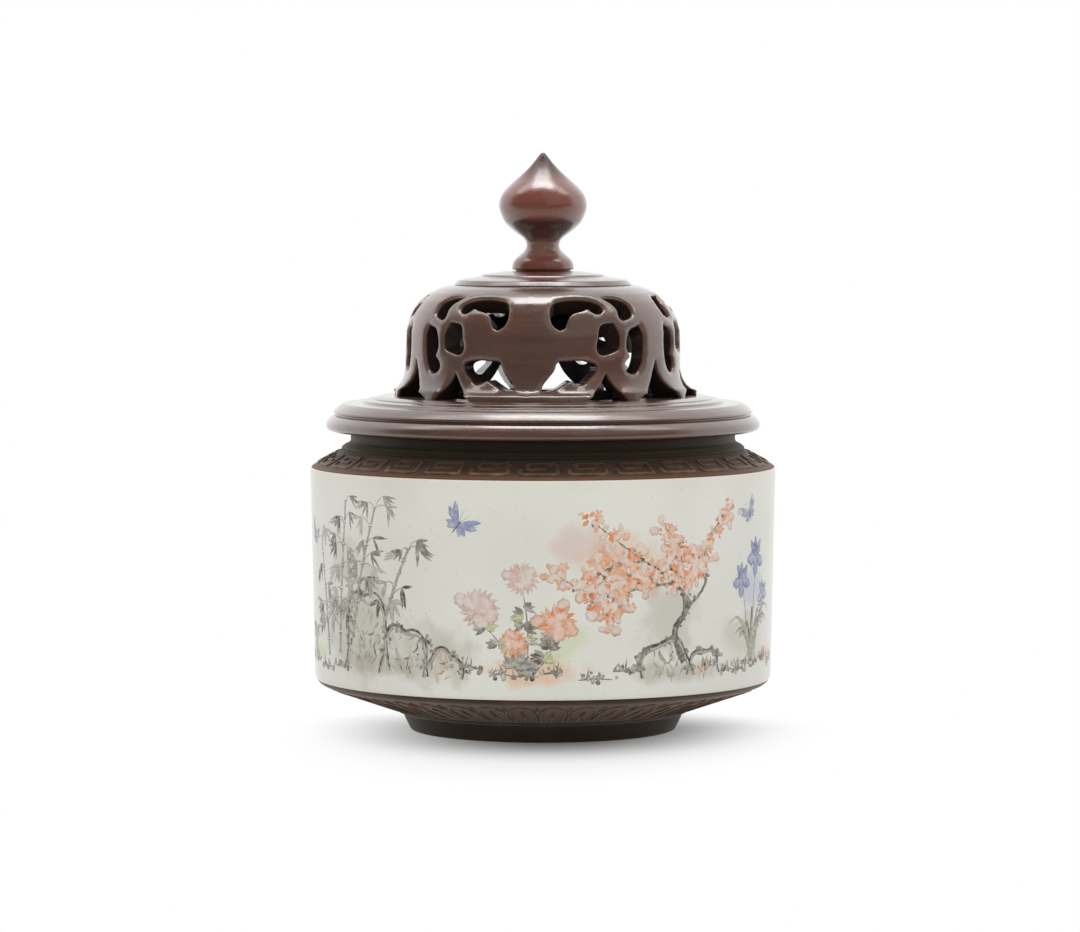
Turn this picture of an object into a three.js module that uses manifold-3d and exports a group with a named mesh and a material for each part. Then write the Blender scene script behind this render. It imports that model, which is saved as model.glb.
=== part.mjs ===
// A small porcelain incense burner: a slightly tapered white drum on a brown foot, with a brown shoulder
// and neck, and a turned wooden cover whose dome is pierced to let the smoke out.
// Millimetres, +Z up. The origin is the centre of the foot's resting plane, and the front faces -Y.
import * as THREE from 'three';
import { mergeVertices } from 'three/addons/utils/BufferGeometryUtils.js';
import Module from 'manifold-3d';

const wasm = await Module();
wasm.setup();

// Driving dimensions of the porcelain body
const bodyRadius = 55; // widest radius, at the top edge of the white wall
const wallBottomRadius = 53.9;
const wallBottom = 13.6; // height where the white wall starts above the rounded corner
const wallTop = 62.2;
const wallThickness = 4.2;
const footRadius = 33;
const footBottomRadius = 31.4;
const footHeight = 4.2;
const footRingRadius = 34.9; // small raised ring between the foot and the lower cone
const footInnerRadius = 27.6;
const shoulderRadius = 54.3;
const collarRadius = 47.4; // where the sloping shoulder turns steeper towards the neck
const collarHeight = 66.4;
const neckRadius = 45.4;
const neckBottom = 68;
const rimHeight = 70.6; // top of the mouth rim
const mouthRadius = 41.4;
const floorHeight = 9.4; // inner floor of the bowl

// Driving dimensions of the turned cover
const seatGap = 0.2; // between faces that rest on each other
const flangeRadius = 51.2;
const flangeSeat = rimHeight + seatGap;
const flangeTop = 79; // where the dome rests
const flangeBore = 28;
const spigotRadius = 41;
const spigotBore = 36.8;
const spigotBottom = 65.4;
const domeFoot = flangeTop + seatGap;
const domeRadius = 32.4;
const domeFlareRadius = 36.4;
const domeWall = 4.2;
const domeTop = 105;
const tongueInner = 31; // locating ring under the dome, in a groove of the flange
const tongueOuter = 33.4;
const tongueDepth = 1.6;
const tenonRadius = 3.3;
const tenonHoleRadius = 3.6;
const capRadius = 20.9;
const capFoot = domeTop + seatGap;
const capTop = 108.3;
const finialFoot = capTop + seatGap;
const finialTip = 136.2;

// Driving dimensions of what the bowl holds
const ashGap = 0.3;
const ashTop = 33; // flat spot in the middle of the mound
const coneRadius = 5;
const coneHeight = 17;

// Facets round the axis. The dome's count is a multiple of 3 and of 4, for its pattern and its symmetry.
const bodySides = 60;
const coverSides = 48;
const domeSides = 48;
const ashSides = 36;
const finialSides = 24;

const porcelainWhite = new THREE.Color(0.8, 0.79, 0.74);
const paleAsh = new THREE.Color(0.62, 0.6, 0.57);
const coneBrown = new THREE.Color(0.24, 0.15, 0.09);
const rosewood = new THREE.Color(0.2, 0.09, 0.06);

const radians = THREE.MathUtils.degToRad;

function material(color, roughness) {
  return new THREE.MeshStandardMaterial({ color, roughness, metalness: 0 });
}

function named(name, geometry, color, roughness) {
  const mesh = new THREE.Mesh(geometry, material(color, roughness));
  mesh.name = name;
  return mesh;
}

// A turned solid from a profile of [radius, height] points that runs from low to high along its outside.
function turned(profile, sides) {
  const points = profile.map(([radius, height]) => new THREE.Vector2(radius, height));
  return new THREE.LatheGeometry(points, sides).rotateX(Math.PI / 2);
}

// Points of a smooth curve through [radius, height] pairs.
function curveThrough(pairs, steps) {
  const curve = new THREE.SplineCurve(pairs.map(([radius, height]) => new THREE.Vector2(radius, height)));
  return curve.getSpacedPoints(steps).map((p) => [p.x, p.y]);
}

// Points of an arc about a centre, from one angle to another in degrees, with 0 pointing outwards.
function arc(centreRadius, centreHeight, radius, from, to, steps) {
  const points = [];
  for (let i = 0; i <= steps; i += 1) {
    const angle = radians(from + ((to - from) * i) / steps);
    points.push([centreRadius + radius * Math.cos(angle), centreHeight + radius * Math.sin(angle)]);
  }
  return points;
}

function closed(profile) {
  return [...profile, profile[0]];
}

function toSolid(geometry) {
  const bare = geometry.clone();
  bare.deleteAttribute('normal');
  bare.deleteAttribute('uv');
  const merged = mergeVertices(bare, 1e-4);
  return new wasm.Manifold(
    new wasm.Mesh({
      numProp: 3,
      vertProperties: merged.attributes.position.array,
      triVerts: new Uint32Array(merged.index.array),
    }),
  );
}

function toGeometry(solid) {
  const mesh = solid.getMesh();
  const geometry = new THREE.BufferGeometry();
  geometry.setAttribute('position', new THREE.BufferAttribute(mesh.vertProperties, mesh.numProp));
  geometry.setIndex(new THREE.BufferAttribute(mesh.triVerts, 1));
  geometry.computeVertexNormals();
  return geometry;
}

// The fired body in one piece: foot ring, lower cone, wall, shoulder and neck, hollow inside.
function porcelainBody() {
  const cornerRadius = 2.9;
  const outside = [
    [footInnerRadius, 0],
    [footBottomRadius - 0.6, 0],
    [footBottomRadius, 0.5],
    [footRadius, footHeight],
    [footRingRadius - 0.6, footHeight + 0.1],
    [footRingRadius, footHeight + 0.5],
    [footRingRadius, footHeight + 0.9],
    [footRingRadius + 0.6, footHeight + 1],
    ...arc(wallBottomRadius - cornerRadius, wallBottom, cornerRadius, -71, 0, 4),
    [bodyRadius - 0.05, wallTop - 0.9],
    [bodyRadius - 0.3, wallTop + 0.1],
    [shoulderRadius, wallTop + 0.4],
    [collarRadius, collarHeight],
    [neckRadius + 0.4, neckBottom - 0.4],
    [neckRadius, neckBottom + 0.3],
    [neckRadius, rimHeight - 0.4],
    [neckRadius - 0.4, rimHeight],
    [mouthRadius + 0.4, rimHeight],
    [mouthRadius, rimHeight - 0.4],
  ];
  const inside = [
    [mouthRadius, 67.2],
    [mouthRadius + 1.2, 65.6],
    [bodyRadius - wallThickness - 1.6, wallTop - 1.2],
    [bodyRadius - wallThickness, wallTop - 4],
    [wallBottomRadius - wallThickness, 18.5],
    [wallBottomRadius - wallThickness - 2.4, 14.4],
    [34, floorHeight + 0.2],
    [0, floorHeight],
  ];
  const footRecess = [
    [0, 4.4],
    [footInnerRadius - 1.6, 4.2],
    [footInnerRadius - 0.6, 3.2],
    [footInnerRadius, 0],
  ];
  return turned([...footRecess, ...outside.slice(1), ...inside], bodySides);
}

// The bed of ash that makes the bowl safe to burn in, mounded a little, with a flat spot for the cone.
function ashBed() {
  const edge = wallBottomRadius - wallThickness - ashGap;
  const profile = [
    [0, floorHeight + ashGap],
    [34, floorHeight + 0.2 + ashGap],
    [edge - 2.5, 14.6],
    [edge, 18.7],
    [edge + 0.2, ashTop - 3.2],
    [edge - 2, ashTop - 2.6],
    [26, ashTop - 1],
    [coneRadius + 3, ashTop],
    [0, ashTop],
  ];
  return turned(profile, ashSides);
}

function incenseCone() {
  const foot = ashTop + 0.05;
  const profile = [
    [0, foot],
    [coneRadius - 0.3, foot],
    [coneRadius, foot + 0.5],
    [0.7, foot + coneHeight - 0.6],
    [0, foot + coneHeight],
  ];
  return turned(profile, finialSides);
}

// The flat turned ring of the cover: two lips round its edge, a spigot that drops into the mouth,
// and a groove on top for the dome's tongue.
function coverFlange() {
  const grooveClearance = 0.3;
  const profile = closed([
    [spigotBore, spigotBottom],
    [spigotRadius - 0.5, spigotBottom],
    [spigotRadius, spigotBottom + 0.6],
    [spigotRadius, flangeSeat],
    [50.1, flangeSeat],
    ...arc(flangeRadius - 1.1, flangeSeat + 1.15, 1.1, -60, 0, 3),
    ...arc(flangeRadius - 2, flangeSeat + 1.7, 2, 12, 72, 3),
    [49.2, flangeSeat + 3.7],
    [49.2, flangeSeat + 4],
    ...arc(47.3, flangeSeat + 4.2, 2.2, 0, 84, 5),
    [43.3, 77.35],
    [42.8, 77.5],
    [42.4, 77.95],
    [40.5, 78.4],
    [38, flangeTop],
    [tongueOuter + grooveClearance, flangeTop],
    [tongueOuter + grooveClearance, domeFoot - tongueDepth - grooveClearance],
    [tongueInner - grooveClearance, domeFoot - tongueDepth - grooveClearance],
    [tongueInner - grooveClearance, flangeTop],
    [flangeBore + 0.6, flangeTop],
    [flangeBore, flangeTop - 0.6],
    [flangeBore, flangeSeat + 1.8],
    [spigotBore, flangeSeat - 0.4],
  ]);
  return turned(profile, coverSides);
}

// The openings of a sixth of the dome, as [degrees from the middle of a motif, height] points.
// Each is drawn once, mirrored, and repeated three times round the dome.
const hookOpening = [
  [13.2, 95.5], [10.4, 96.5], [9.2, 98.2], [9.3, 100.2], [10.9, 101.6], [14.5, 102.2], [20, 102.5],
  [26, 102.4], [31, 101.9], [33.7, 100.9], [33.4, 99.8], [31, 99.2], [28.2, 99.5], [26.4, 100.4],
  [24.4, 100.1], [20.6, 99.6], [17.8, 98.9], [16.6, 97.6], [15.4, 96.1],
];
const commaOpening = [
  [35.8, 102.6], [39.6, 102.7], [44.4, 102.5], [48.2, 101.7], [49.3, 100.3], [48.2, 98.8],
  [45, 98], [42, 97.7], [41, 98.6], [41.2, 99.8], [40.4, 100.9], [38.4, 101.8],
];
const eyeOpening = [
  [37.4, 97], [39.2, 95.3], [39.9, 93], [39.3, 91], [36.4, 90.2], [32.4, 89.6], [30, 90],
  [29, 91.3], [29.5, 93.2], [30.2, 95.2], [31.6, 96.5], [34.6, 96.9],
];
const slotOpening = [
  [50.8, 96.4], [52.3, 95], [52.7, 91.4], [51.9, 88], [49.7, 85.9], [46.4, 85.2], [43.4, 85.7],
  [42.1, 86.7], [43.2, 88], [45.2, 89], [44.4, 90], [43.4, 91.4], [43.9, 94], [45.8, 95.4], [48.8, 95.9],
];
const lowerOpening = [
  [4.8, 81.4], [5.8, 82.7], [8.6, 84.3], [11, 86], [12.2, 87.7], [16, 88], [21, 88.2], [26, 87.8],
  [28.5, 87], [27.8, 85.6], [25, 84.2], [22.8, 83], [20, 83], [17.4, 83.8], [14.2, 82.9], [10.4, 81.8],
  [6.8, 81.3],
];
const openFoot = domeFoot - 0.25; // the gaps between the leaves reach down to the flange
const leafGap = [
  [32.7, 85], [34.8, 82.9], [37.2, 81.2], [40.4, openFoot], [22.6, openFoot], [27, 81.2], [30.2, 83],
];
const ribGap = [
  [60, 87.8], [61.8, 85.3], [64.4, 83.1], [68.2, 81.2], [73.6, openFoot], [46.4, openFoot],
  [51.8, 81.2], [55.6, 83.1], [58.2, 85.3],
];

// A cutter whose outline is given in degrees and height, and whose sides run towards the axis.
function openingCutter(outline, turn, mirrored) {
  const innerReach = 23;
  const outerReach = 44;
  const flat = outline.map(([degrees, height]) => new THREE.Vector2(mirrored ? -degrees : degrees, height));
  if (THREE.ShapeUtils.isClockWise(flat)) flat.reverse();
  const count = flat.length;
  const positions = [];
  for (const reach of [innerReach, outerReach]) {
    for (const point of flat) {
      const angle = radians(point.x + turn);
      positions.push(reach * Math.sin(angle), -reach * Math.cos(angle), point.y);
    }
  }
  const index = [];
  for (const [a, b, c] of THREE.ShapeUtils.triangulateShape(flat, [])) {
    index.push(a, c, b, a + count, b + count, c + count);
  }
  for (let i = 0; i < count; i += 1) {
    const next = (i + 1) % count;
    index.push(i, next, next + count, i, next + count, i + count);
  }
  const geometry = new THREE.BufferGeometry();
  geometry.setAttribute('position', new THREE.Float32BufferAttribute(positions, 3));
  geometry.setIndex(index);
  return toSolid(geometry);
}

// The dome as turned, before it is pierced.
function domeBlank() {
  const insideRadius = domeRadius - domeWall;
  const outside = [
    [domeFlareRadius, domeFoot],
    [domeFlareRadius, domeFoot + 0.9],
    [35.8, 80.4],
    [35.1, 80.6],
    [33.9, 81.6],
    [33, 83.2],
    [domeRadius + 0.1, 85.2],
    [domeRadius, 90],
    [domeRadius - 0.1, 94.4],
    [31.6, 97],
    [30.5, 99.3],
    [28.9, 101.4],
    [26.6, 103.2],
    [24, 104.4],
    [21.5, domeTop],
    [tenonHoleRadius, domeTop],
  ];
  const inside = [
    [tenonHoleRadius, domeTop - domeWall],
    [20.4, domeTop - domeWall],
    [23.6, 99.6],
    [26.2, 97.4],
    [27.7, 94.6],
    [insideRadius, 91],
    [insideRadius, domeFoot],
  ];
  const tongue = [
    [tongueInner, domeFoot],
    [tongueInner, domeFoot - tongueDepth],
    [tongueOuter, domeFoot - tongueDepth],
    [tongueOuter, domeFoot],
  ];
  return turned(closed([...tongue, ...outside, ...inside]), domeSides);
}

function piercedDome() {
  let solid = toSolid(domeBlank());
  const motifs = 3;
  for (let i = 0; i < motifs; i += 1) {
    const turn = (360 / motifs) * i;
    const pairs = [hookOpening, commaOpening, eyeOpening, slotOpening, lowerOpening, leafGap];
    for (const outline of pairs) {
      for (const mirrored of [false, true]) {
        solid = solid.subtract(openingCutter(outline, turn, mirrored));
      }
    }
    solid = solid.subtract(openingCutter(ribGap, turn, false));
  }
  return toGeometry(solid);
}

// The turned disc that covers the dome's crown, with a hole for the finial's tenon.
function domeCap() {
  const profile = closed([
    [tenonHoleRadius, capFoot],
    [capRadius - 0.5, capFoot],
    [capRadius, capFoot + 0.4],
    [capRadius - 0.4, capFoot + 0.9],
    [18, 106.6],
    [14.6, 107.1],
    [14.3, 107.5],
    [9.5, capTop - 0.1],
    [8.4, capTop],
    [tenonHoleRadius, capTop],
  ]);
  return turned(profile, coverSides);
}

// The onion-shaped finial, turned in one piece with the tenon that holds it in the cap and dome.
function finial() {
  const footAndCove = curveThrough(
    [[7.3, finialFoot + 0.7], [7, 110.3], [5.2, 112.2], [3.85, 114.2], [4.3, 115.8]],
    7,
  );
  const bulb = curveThrough(
    [
      [4.3, 115.8], [7, 117.9], [9, 119.8], [10.2, 122.2], [10.35, 124], [9.7, 126.3],
      [8.1, 128.3], [5.9, 130.3], [3.8, 132.1], [2.1, 134], [1.1, 135.4],
    ],
    16,
  );
  const profile = [
    [0, 101.2],
    [tenonRadius - 0.4, 101.2],
    [tenonRadius, 101.6],
    [tenonRadius, finialFoot],
    [7, finialFoot],
    ...footAndCove,
    ...bulb.slice(1),
    [0.4, finialTip - 0.15],
    [0, finialTip],
  ];
  return turned(profile, finialSides);
}

const burner = new THREE.Group();
burner.add(
  named('porcelain_body', porcelainBody(), porcelainWhite, 0.25),
  named('ash_bed', ashBed(), paleAsh, 0.95),
  named('incense_cone', incenseCone(), coneBrown, 0.9),
  named('cover_flange', coverFlange(), rosewood, 0.45),
  named('pierced_dome', piercedDome(), rosewood, 0.45),
  named('dome_cap', domeCap(), rosewood, 0.45),
  named('finial', finial(), rosewood, 0.35),
);

export default burner;
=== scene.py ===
import math
import random

import bpy
import numpy as np
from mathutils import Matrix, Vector
from mathutils.geometry import delaunay_2d_cdt


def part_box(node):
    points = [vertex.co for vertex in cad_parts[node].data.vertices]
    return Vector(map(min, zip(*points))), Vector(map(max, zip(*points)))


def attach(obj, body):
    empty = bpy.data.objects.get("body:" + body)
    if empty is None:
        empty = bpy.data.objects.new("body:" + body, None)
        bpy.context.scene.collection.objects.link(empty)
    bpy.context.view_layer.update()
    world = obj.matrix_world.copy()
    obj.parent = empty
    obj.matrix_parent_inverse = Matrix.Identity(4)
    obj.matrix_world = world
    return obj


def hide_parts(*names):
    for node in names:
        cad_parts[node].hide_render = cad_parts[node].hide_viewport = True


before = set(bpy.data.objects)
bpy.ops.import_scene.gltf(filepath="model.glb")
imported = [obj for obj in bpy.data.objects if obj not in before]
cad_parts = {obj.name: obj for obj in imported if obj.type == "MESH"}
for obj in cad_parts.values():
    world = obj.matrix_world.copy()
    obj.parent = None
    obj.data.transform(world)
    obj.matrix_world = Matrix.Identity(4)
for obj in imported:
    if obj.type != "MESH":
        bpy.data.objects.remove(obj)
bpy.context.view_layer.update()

bl_info = {
    "name": "Porcelain Incense Burner",
    "version": (1, 0, 0),
    "blender": (4, 5, 0),
    "location": "View3D > Sidebar > Burner",
    "description": "Dresses a covered porcelain incense burner around its packed frame",
    "category": "Add Mesh",
}

MM = 0.001


def frame_sizes(node):
    """Outer radius, lowest and highest point of a node of the frame, in millimetres."""
    low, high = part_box(node)
    return (high.x - low.x) / 2 / MM, low.z / MM, high.z / MM


BODY_RADIUS, RIM_LEVEL = frame_sizes("porcelain_body")[::2]
FLANGE_RADIUS, SPIGOT_LEVEL, FLANGE_TOP = frame_sizes("cover_flange")
TONGUE_LEVEL, DOME_TOP = frame_sizes("pierced_dome")[1:]
CAP_RADIUS, CAP_FOOT, CAP_TOP = frame_sizes("dome_cap")
FINIAL_RADIUS, TENON_LEVEL, FINIAL_TIP = frame_sizes("finial")
ASH_RADIUS, ASH_FOOT, ASH_TOP = frame_sizes("ash_bed")
CONE_RADIUS, CONE_FOOT, CONE_TIP = frame_sizes("incense_cone")

# Heights of the porcelain's zones and the wall's slight taper
WALL_BOTTOM = 12.4
WALL_TOP = 62.2
WALL_LOW_RADIUS = 53.9
WALL_LOW_LEVEL = 13.6
SHOULDER_FOOT = (54.3, 62.6)
SHOULDER_HEAD = (47.7, 66.2)
LOWER_CONE_FOOT = (35.7, 5.25)
LOWER_CONE_HEAD = (51.9, 10.85)

FLANGE_SEAT = RIM_LEVEL + 0.2
# The dome's foot is widest at the points of its leaves, between the gaps
DOME_FLARE = 36.4
# The cover's glued parts meet without the frame's small gaps
JOINT_DEPTH = 0.02
DOME_FOOT = FLANGE_TOP - JOINT_DEPTH
DISC_FOOT = DOME_TOP - JOINT_DEPTH
FINIAL_FOOT = CAP_TOP - JOINT_DEPTH


# Settings that a user may change

class BurnerPorcelainSettings(bpy.types.PropertyGroup):
    glaze: bpy.props.FloatVectorProperty(
        name="Glaze", description="White glaze of the wall", subtype="COLOR", default=(0.79, 0.785, 0.715))
    brown: bpy.props.FloatVectorProperty(
        name="Brown", description="Brown slip of shoulder and foot", subtype="COLOR",
        default=(0.034, 0.016, 0.008))
    relief: bpy.props.FloatProperty(
        name="Relief", description="Height of the fret above the shoulder", unit="LENGTH", default=0.3 * MM)
    keys: bpy.props.IntProperty(
        name="Keys", description="Number of keys in the fret", default=29, min=8)
    petals: bpy.props.IntProperty(
        name="Petals", description="Number of petals on the lower cone", default=40, min=8)


class BurnerPaintingSettings(bpy.types.PropertyGroup):
    ink: bpy.props.FloatVectorProperty(
        name="Ink", description="Grey brown of the drawing", subtype="COLOR", default=(0.088, 0.062, 0.038))
    coral: bpy.props.FloatVectorProperty(
        name="Coral", description="Iron red thinned to coral", subtype="COLOR", default=(0.82, 0.23, 0.03))
    leaf: bpy.props.FloatVectorProperty(
        name="Leaf", description="Pale yellow green of leaves", subtype="COLOR", default=(0.42, 0.5, 0.16))
    blue: bpy.props.FloatVectorProperty(
        name="Blue", description="Blue violet of irises and wings", subtype="COLOR",
        default=(0.14, 0.18, 0.45))
    lift: bpy.props.FloatProperty(
        name="Lift", description="How far a stroke stands above the glaze", unit="LENGTH",
        default=0.025 * MM)
    seed: bpy.props.IntProperty(
        name="Seed", description="Start of the hand's small variations", default=7)


class BurnerCoverSettings(bpy.types.PropertyGroup):
    wood: bpy.props.FloatVectorProperty(
        name="Wood", description="Brown of the dome, its cap and its flange", subtype="COLOR",
        default=(0.112, 0.053, 0.034))
    knob: bpy.props.FloatVectorProperty(
        name="Knob", description="Redder brown of the finial", subtype="COLOR",
        default=(0.215, 0.052, 0.027))
    # Streaks and pores take this colour; the painted shade of the recesses has its own darker colour
    dark: bpy.props.FloatVectorProperty(
        name="Dark grain", description="Dark streaks and recesses", subtype="COLOR",
        default=(0.036, 0.017, 0.012))
    # Paler rims of the openings: partly wear, partly a painted highlight where the eased edges catch the
    # light
    rim_wear_and_highlight: bpy.props.FloatVectorProperty(
        name="Worn edge", description="Paler brown along the edges of the openings", subtype="COLOR",
        default=(0.2, 0.12, 0.09))
    edge: bpy.props.FloatProperty(
        name="Edge", description="Radius of the eased edges of the openings", unit="LENGTH",
        default=0.7 * MM)
    grid: bpy.props.FloatProperty(
        name="Grid", description="Mesh spacing of the dome between its openings", unit="LENGTH",
        default=0.9 * MM)


class BurnerStageSettings(bpy.types.PropertyGroup):
    azimuth: bpy.props.FloatProperty(
        name="Azimuth", description="Camera angle from the front towards +X", unit="ROTATION",
        default=math.radians(6))
    distance: bpy.props.FloatProperty(
        name="Distance", description="Camera distance from the turning axis", unit="LENGTH", default=1.1595)
    height: bpy.props.FloatProperty(
        name="Height", description="Camera height above the floor", unit="LENGTH", default=0.1333)


# Shader expressions

class Value:
    """A number in a shader. Arithmetic on it adds Math nodes."""

    def __init__(self, shader, socket):
        self.shader = shader
        self.socket = socket

    def __add__(self, other):
        return self.shader.math("ADD", self, other)

    __radd__ = __add__

    def __sub__(self, other):
        return self.shader.math("SUBTRACT", self, other)

    def __rsub__(self, other):
        return self.shader.math("SUBTRACT", other, self)

    def __mul__(self, other):
        return self.shader.math("MULTIPLY", self, other)

    __rmul__ = __mul__

    def __truediv__(self, other):
        return self.shader.math("DIVIDE", self, other)

    def __rtruediv__(self, other):
        return self.shader.math("DIVIDE", other, self)

    def __pow__(self, other):
        return self.shader.math("POWER", self, other)

    def __neg__(self):
        return self.shader.math("MULTIPLY", self, -1.0)

    def between(self, low, high):
        """0 below low, 1 above high and a smooth step from one to the other."""
        node = self.shader.node(
            "ShaderNodeMapRange",
            {"interpolation_type": "SMOOTHSTEP"},
            {"Value": self, "From Min": low, "From Max": high},
        )
        return Value(self.shader, node.outputs["Result"])


class Nodes:
    """The node tree of a material or a world."""

    def __init__(self, owner):
        owner.use_nodes = True
        self.tree = owner.node_tree

    def feed(self, target, value):
        """Puts a constant, a Value or an output socket on an input socket."""
        if isinstance(value, Value):
            value = value.socket
        if isinstance(value, bpy.types.NodeSocket):
            self.tree.links.new(value, target)
        elif target.type == "RGBA" and len(value) == 3:
            target.default_value = (*value, 1.0)
        else:
            target.default_value = value

    def node(self, kind, settings=None, inputs=None):
        """Adds one node: its settings first, then the values or links of its sockets."""
        node = self.tree.nodes.new(kind)
        for name, setting in (settings or {}).items():
            setattr(node, name, setting)
        for socket, value in (inputs or {}).items():
            self.feed(node.inputs[socket], value)
        return node

    def math(self, operation, *numbers):
        node = self.node("ShaderNodeMath", {"operation": operation}, dict(enumerate(numbers)))
        return Value(self, node.outputs[0])

    def split(self, vector):
        node = self.node("ShaderNodeSeparateXYZ", None, {0: vector})
        return [Value(self, output) for output in node.outputs]

    def rays(self):
        """Three numbers, each 1 for its own kind of ray: camera, glossy and transmission."""
        kinds = ("Is Camera Ray", "Is Glossy Ray", "Is Transmission Ray")
        found = self.node("ShaderNodeLightPath").outputs
        return [Value(self, found[kind]) for kind in kinds]


class Shader(Nodes):
    """One material around its Principled shader, with the place on the piece in millimetres."""

    def __init__(self, name, **constants):
        self.material = bpy.data.materials.new(name)
        super().__init__(self.material)
        self.surface = self.tree.nodes["Principled BSDF"]
        for socket, value in constants.items():
            self.surface.inputs[socket.replace("_", " ")].default_value = value
        position = self.node("ShaderNodeTexCoord").outputs["Object"]
        scaled = self.node("ShaderNodeVectorMath", {"operation": "SCALE"}, {0: position, "Scale": 1 / MM})
        self.place = scaled.outputs["Vector"]

    def mix(self, factor, first, second):
        """A colour between two colours."""
        node = self.node("ShaderNodeMix", {"data_type": "RGBA"}, {0: factor, 6: first, 7: second})
        return node.outputs[2]

    def tint(self, factor, color, by):
        """A colour multiplied by another to the given degree."""
        settings = {"data_type": "RGBA", "blend_type": "MULTIPLY"}
        return self.node("ShaderNodeMix", settings, {0: factor, 6: color, 7: by}).outputs[2]

    def height(self):
        return self.split(self.place)[2]

    def noise(self, scale, detail=3.0, distortion=0.0):
        """Noise of 0 to 1. Its scale is one number, or three where it is drawn out."""
        place = self.place
        if isinstance(scale, tuple):
            stretch = self.node("ShaderNodeVectorMath", {"operation": "MULTIPLY"}, {0: place, 1: scale})
            place, scale = stretch.outputs["Vector"], 1.0
        inputs = {"Vector": place, "Scale": scale, "Detail": detail, "Distortion": distortion}
        return Value(self, self.node("ShaderNodeTexNoise", None, inputs).outputs["Fac"])

    def attribute(self, name, output="Fac"):
        return self.node("ShaderNodeAttribute", {"attribute_name": name}).outputs[output]

    def color(self, value):
        self.feed(self.surface.inputs["Base Color"], value)

    def roughness(self, value):
        self.feed(self.surface.inputs["Roughness"], value)

    def bump(self, height, depth):
        """Fine surface detail from a height of 0 to 1, depth in millimetres."""
        inputs = {"Height": height, "Distance": depth * MM, "Strength": 1.0}
        bump = self.node("ShaderNodeBump", None, inputs)
        self.feed(self.surface.inputs["Normal"], bump.outputs["Normal"])


# Materials

# The slip is dull in the middle and catches a warm light where it turns away
SLIP_SHEEN = {
    "Specular_IOR_Level": 0.22,
    "Sheen_Weight": 0.3,
    "Sheen_Roughness": 0.4,
    "Sheen_Tint": (1.0, 0.84, 0.68, 1.0),
}
# Thinned enamels of the painting
PEACH = (0.78, 0.38, 0.16)
ROSE = (0.70, 0.42, 0.36)
SPRING = (0.52, 0.60, 0.24)
VIOLET = (0.30, 0.34, 0.60)
GREYED = (0.46, 0.43, 0.33)
OLIVE = (0.33, 0.28, 0.18)
# Soft washes: distance round the wall from the front, height, half width, half height, colour, strength
WASHES = [
    (-44, 27, 17, 15, GREYED, 0.5), (-20, 22, 13, 9, GREYED, 0.55), (-38, 19, 15, 3.5, OLIVE, 0.4),
    (-50, 44, 9, 7, GREYED, 0.3), (-68, 20, 10, 3, SPRING, 0.6), (2, 19, 16, 4, PEACH, 0.5),
    (10, 26, 10, 6, SPRING, 0.35), (26, 43, 13, 9, PEACH, 0.55), (36, 30, 10, 12, GREYED, 0.45),
    (14, 48, 8, 5, ROSE, 0.4), (40, 18, 16, 3.5, OLIVE, 0.4), (62, 24, 11, 8, GREYED, 0.4),
    (66, 35, 8, 6, VIOLET, 0.35), (78, 19, 9, 3, PEACH, 0.4), (110, 22, 18, 6, GREYED, 0.45),
    (134, 38, 13, 9, PEACH, 0.5), (150, 20, 14, 5, OLIVE, 0.35), (-120, 26, 16, 12, GREYED, 0.45),
    (-142, 20, 12, 4, SPRING, 0.5), (-96, 20, 10, 4, PEACH, 0.45),
]


def white_glaze(look):
    """Glossy white glaze with a faint warm and grey drift and the soft washes of the painting."""
    shader = Shader("white_glaze", Specular_IOR_Level=0.3)
    x, y, z = shader.split(shader.place)
    along = shader.math("ARCTAN2", x, -y) * BODY_RADIUS
    drift = shader.noise(0.035, 2.0)
    color = shader.mix(drift.between(0.35, 0.7), look.glaze, tuple(c * 0.95 for c in look.glaze))
    warmth = z.between(WALL_TOP - 4, WALL_TOP)
    color = shader.tint(warmth * 0.7, color, (1.0, 0.965, 0.91))
    soft = shader.noise(0.16, 4.0)
    for middle, height, half_width, half_height, tone, strength in WASHES:
        across = (along - middle) / half_width
        up = (z - height) / half_height
        reach = (across * across + up * up) ** 0.5 + (soft - 0.5) * 1.6
        color = shader.mix((1.0 - reach.between(0.35, 1.0)) * strength, color, tone)
    specks = shader.noise(1.7, 1.0).between(0.755, 0.785)
    shader.color(shader.mix(specks * 0.5, color, (0.2, 0.15, 0.1)))
    shader.roughness(drift * 0.08 + 0.13)
    shader.bump(shader.noise(0.22, 2.0), 0.05)
    return shader.material


def bowl_glaze(look):
    """Thin plain glaze of the bowl's inside, greyed by smoke towards the ash."""
    shader = Shader("bowl_glaze")
    height = shader.height()
    soot = (1.0 - height.between(ASH_TOP - 2, ASH_TOP + 26)) * shader.noise(0.1, 4.0)
    shader.color(shader.mix(soot, look.glaze, (0.16, 0.14, 0.12)))
    shader.roughness(soot * 0.4 + 0.3)
    return shader.material


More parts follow.
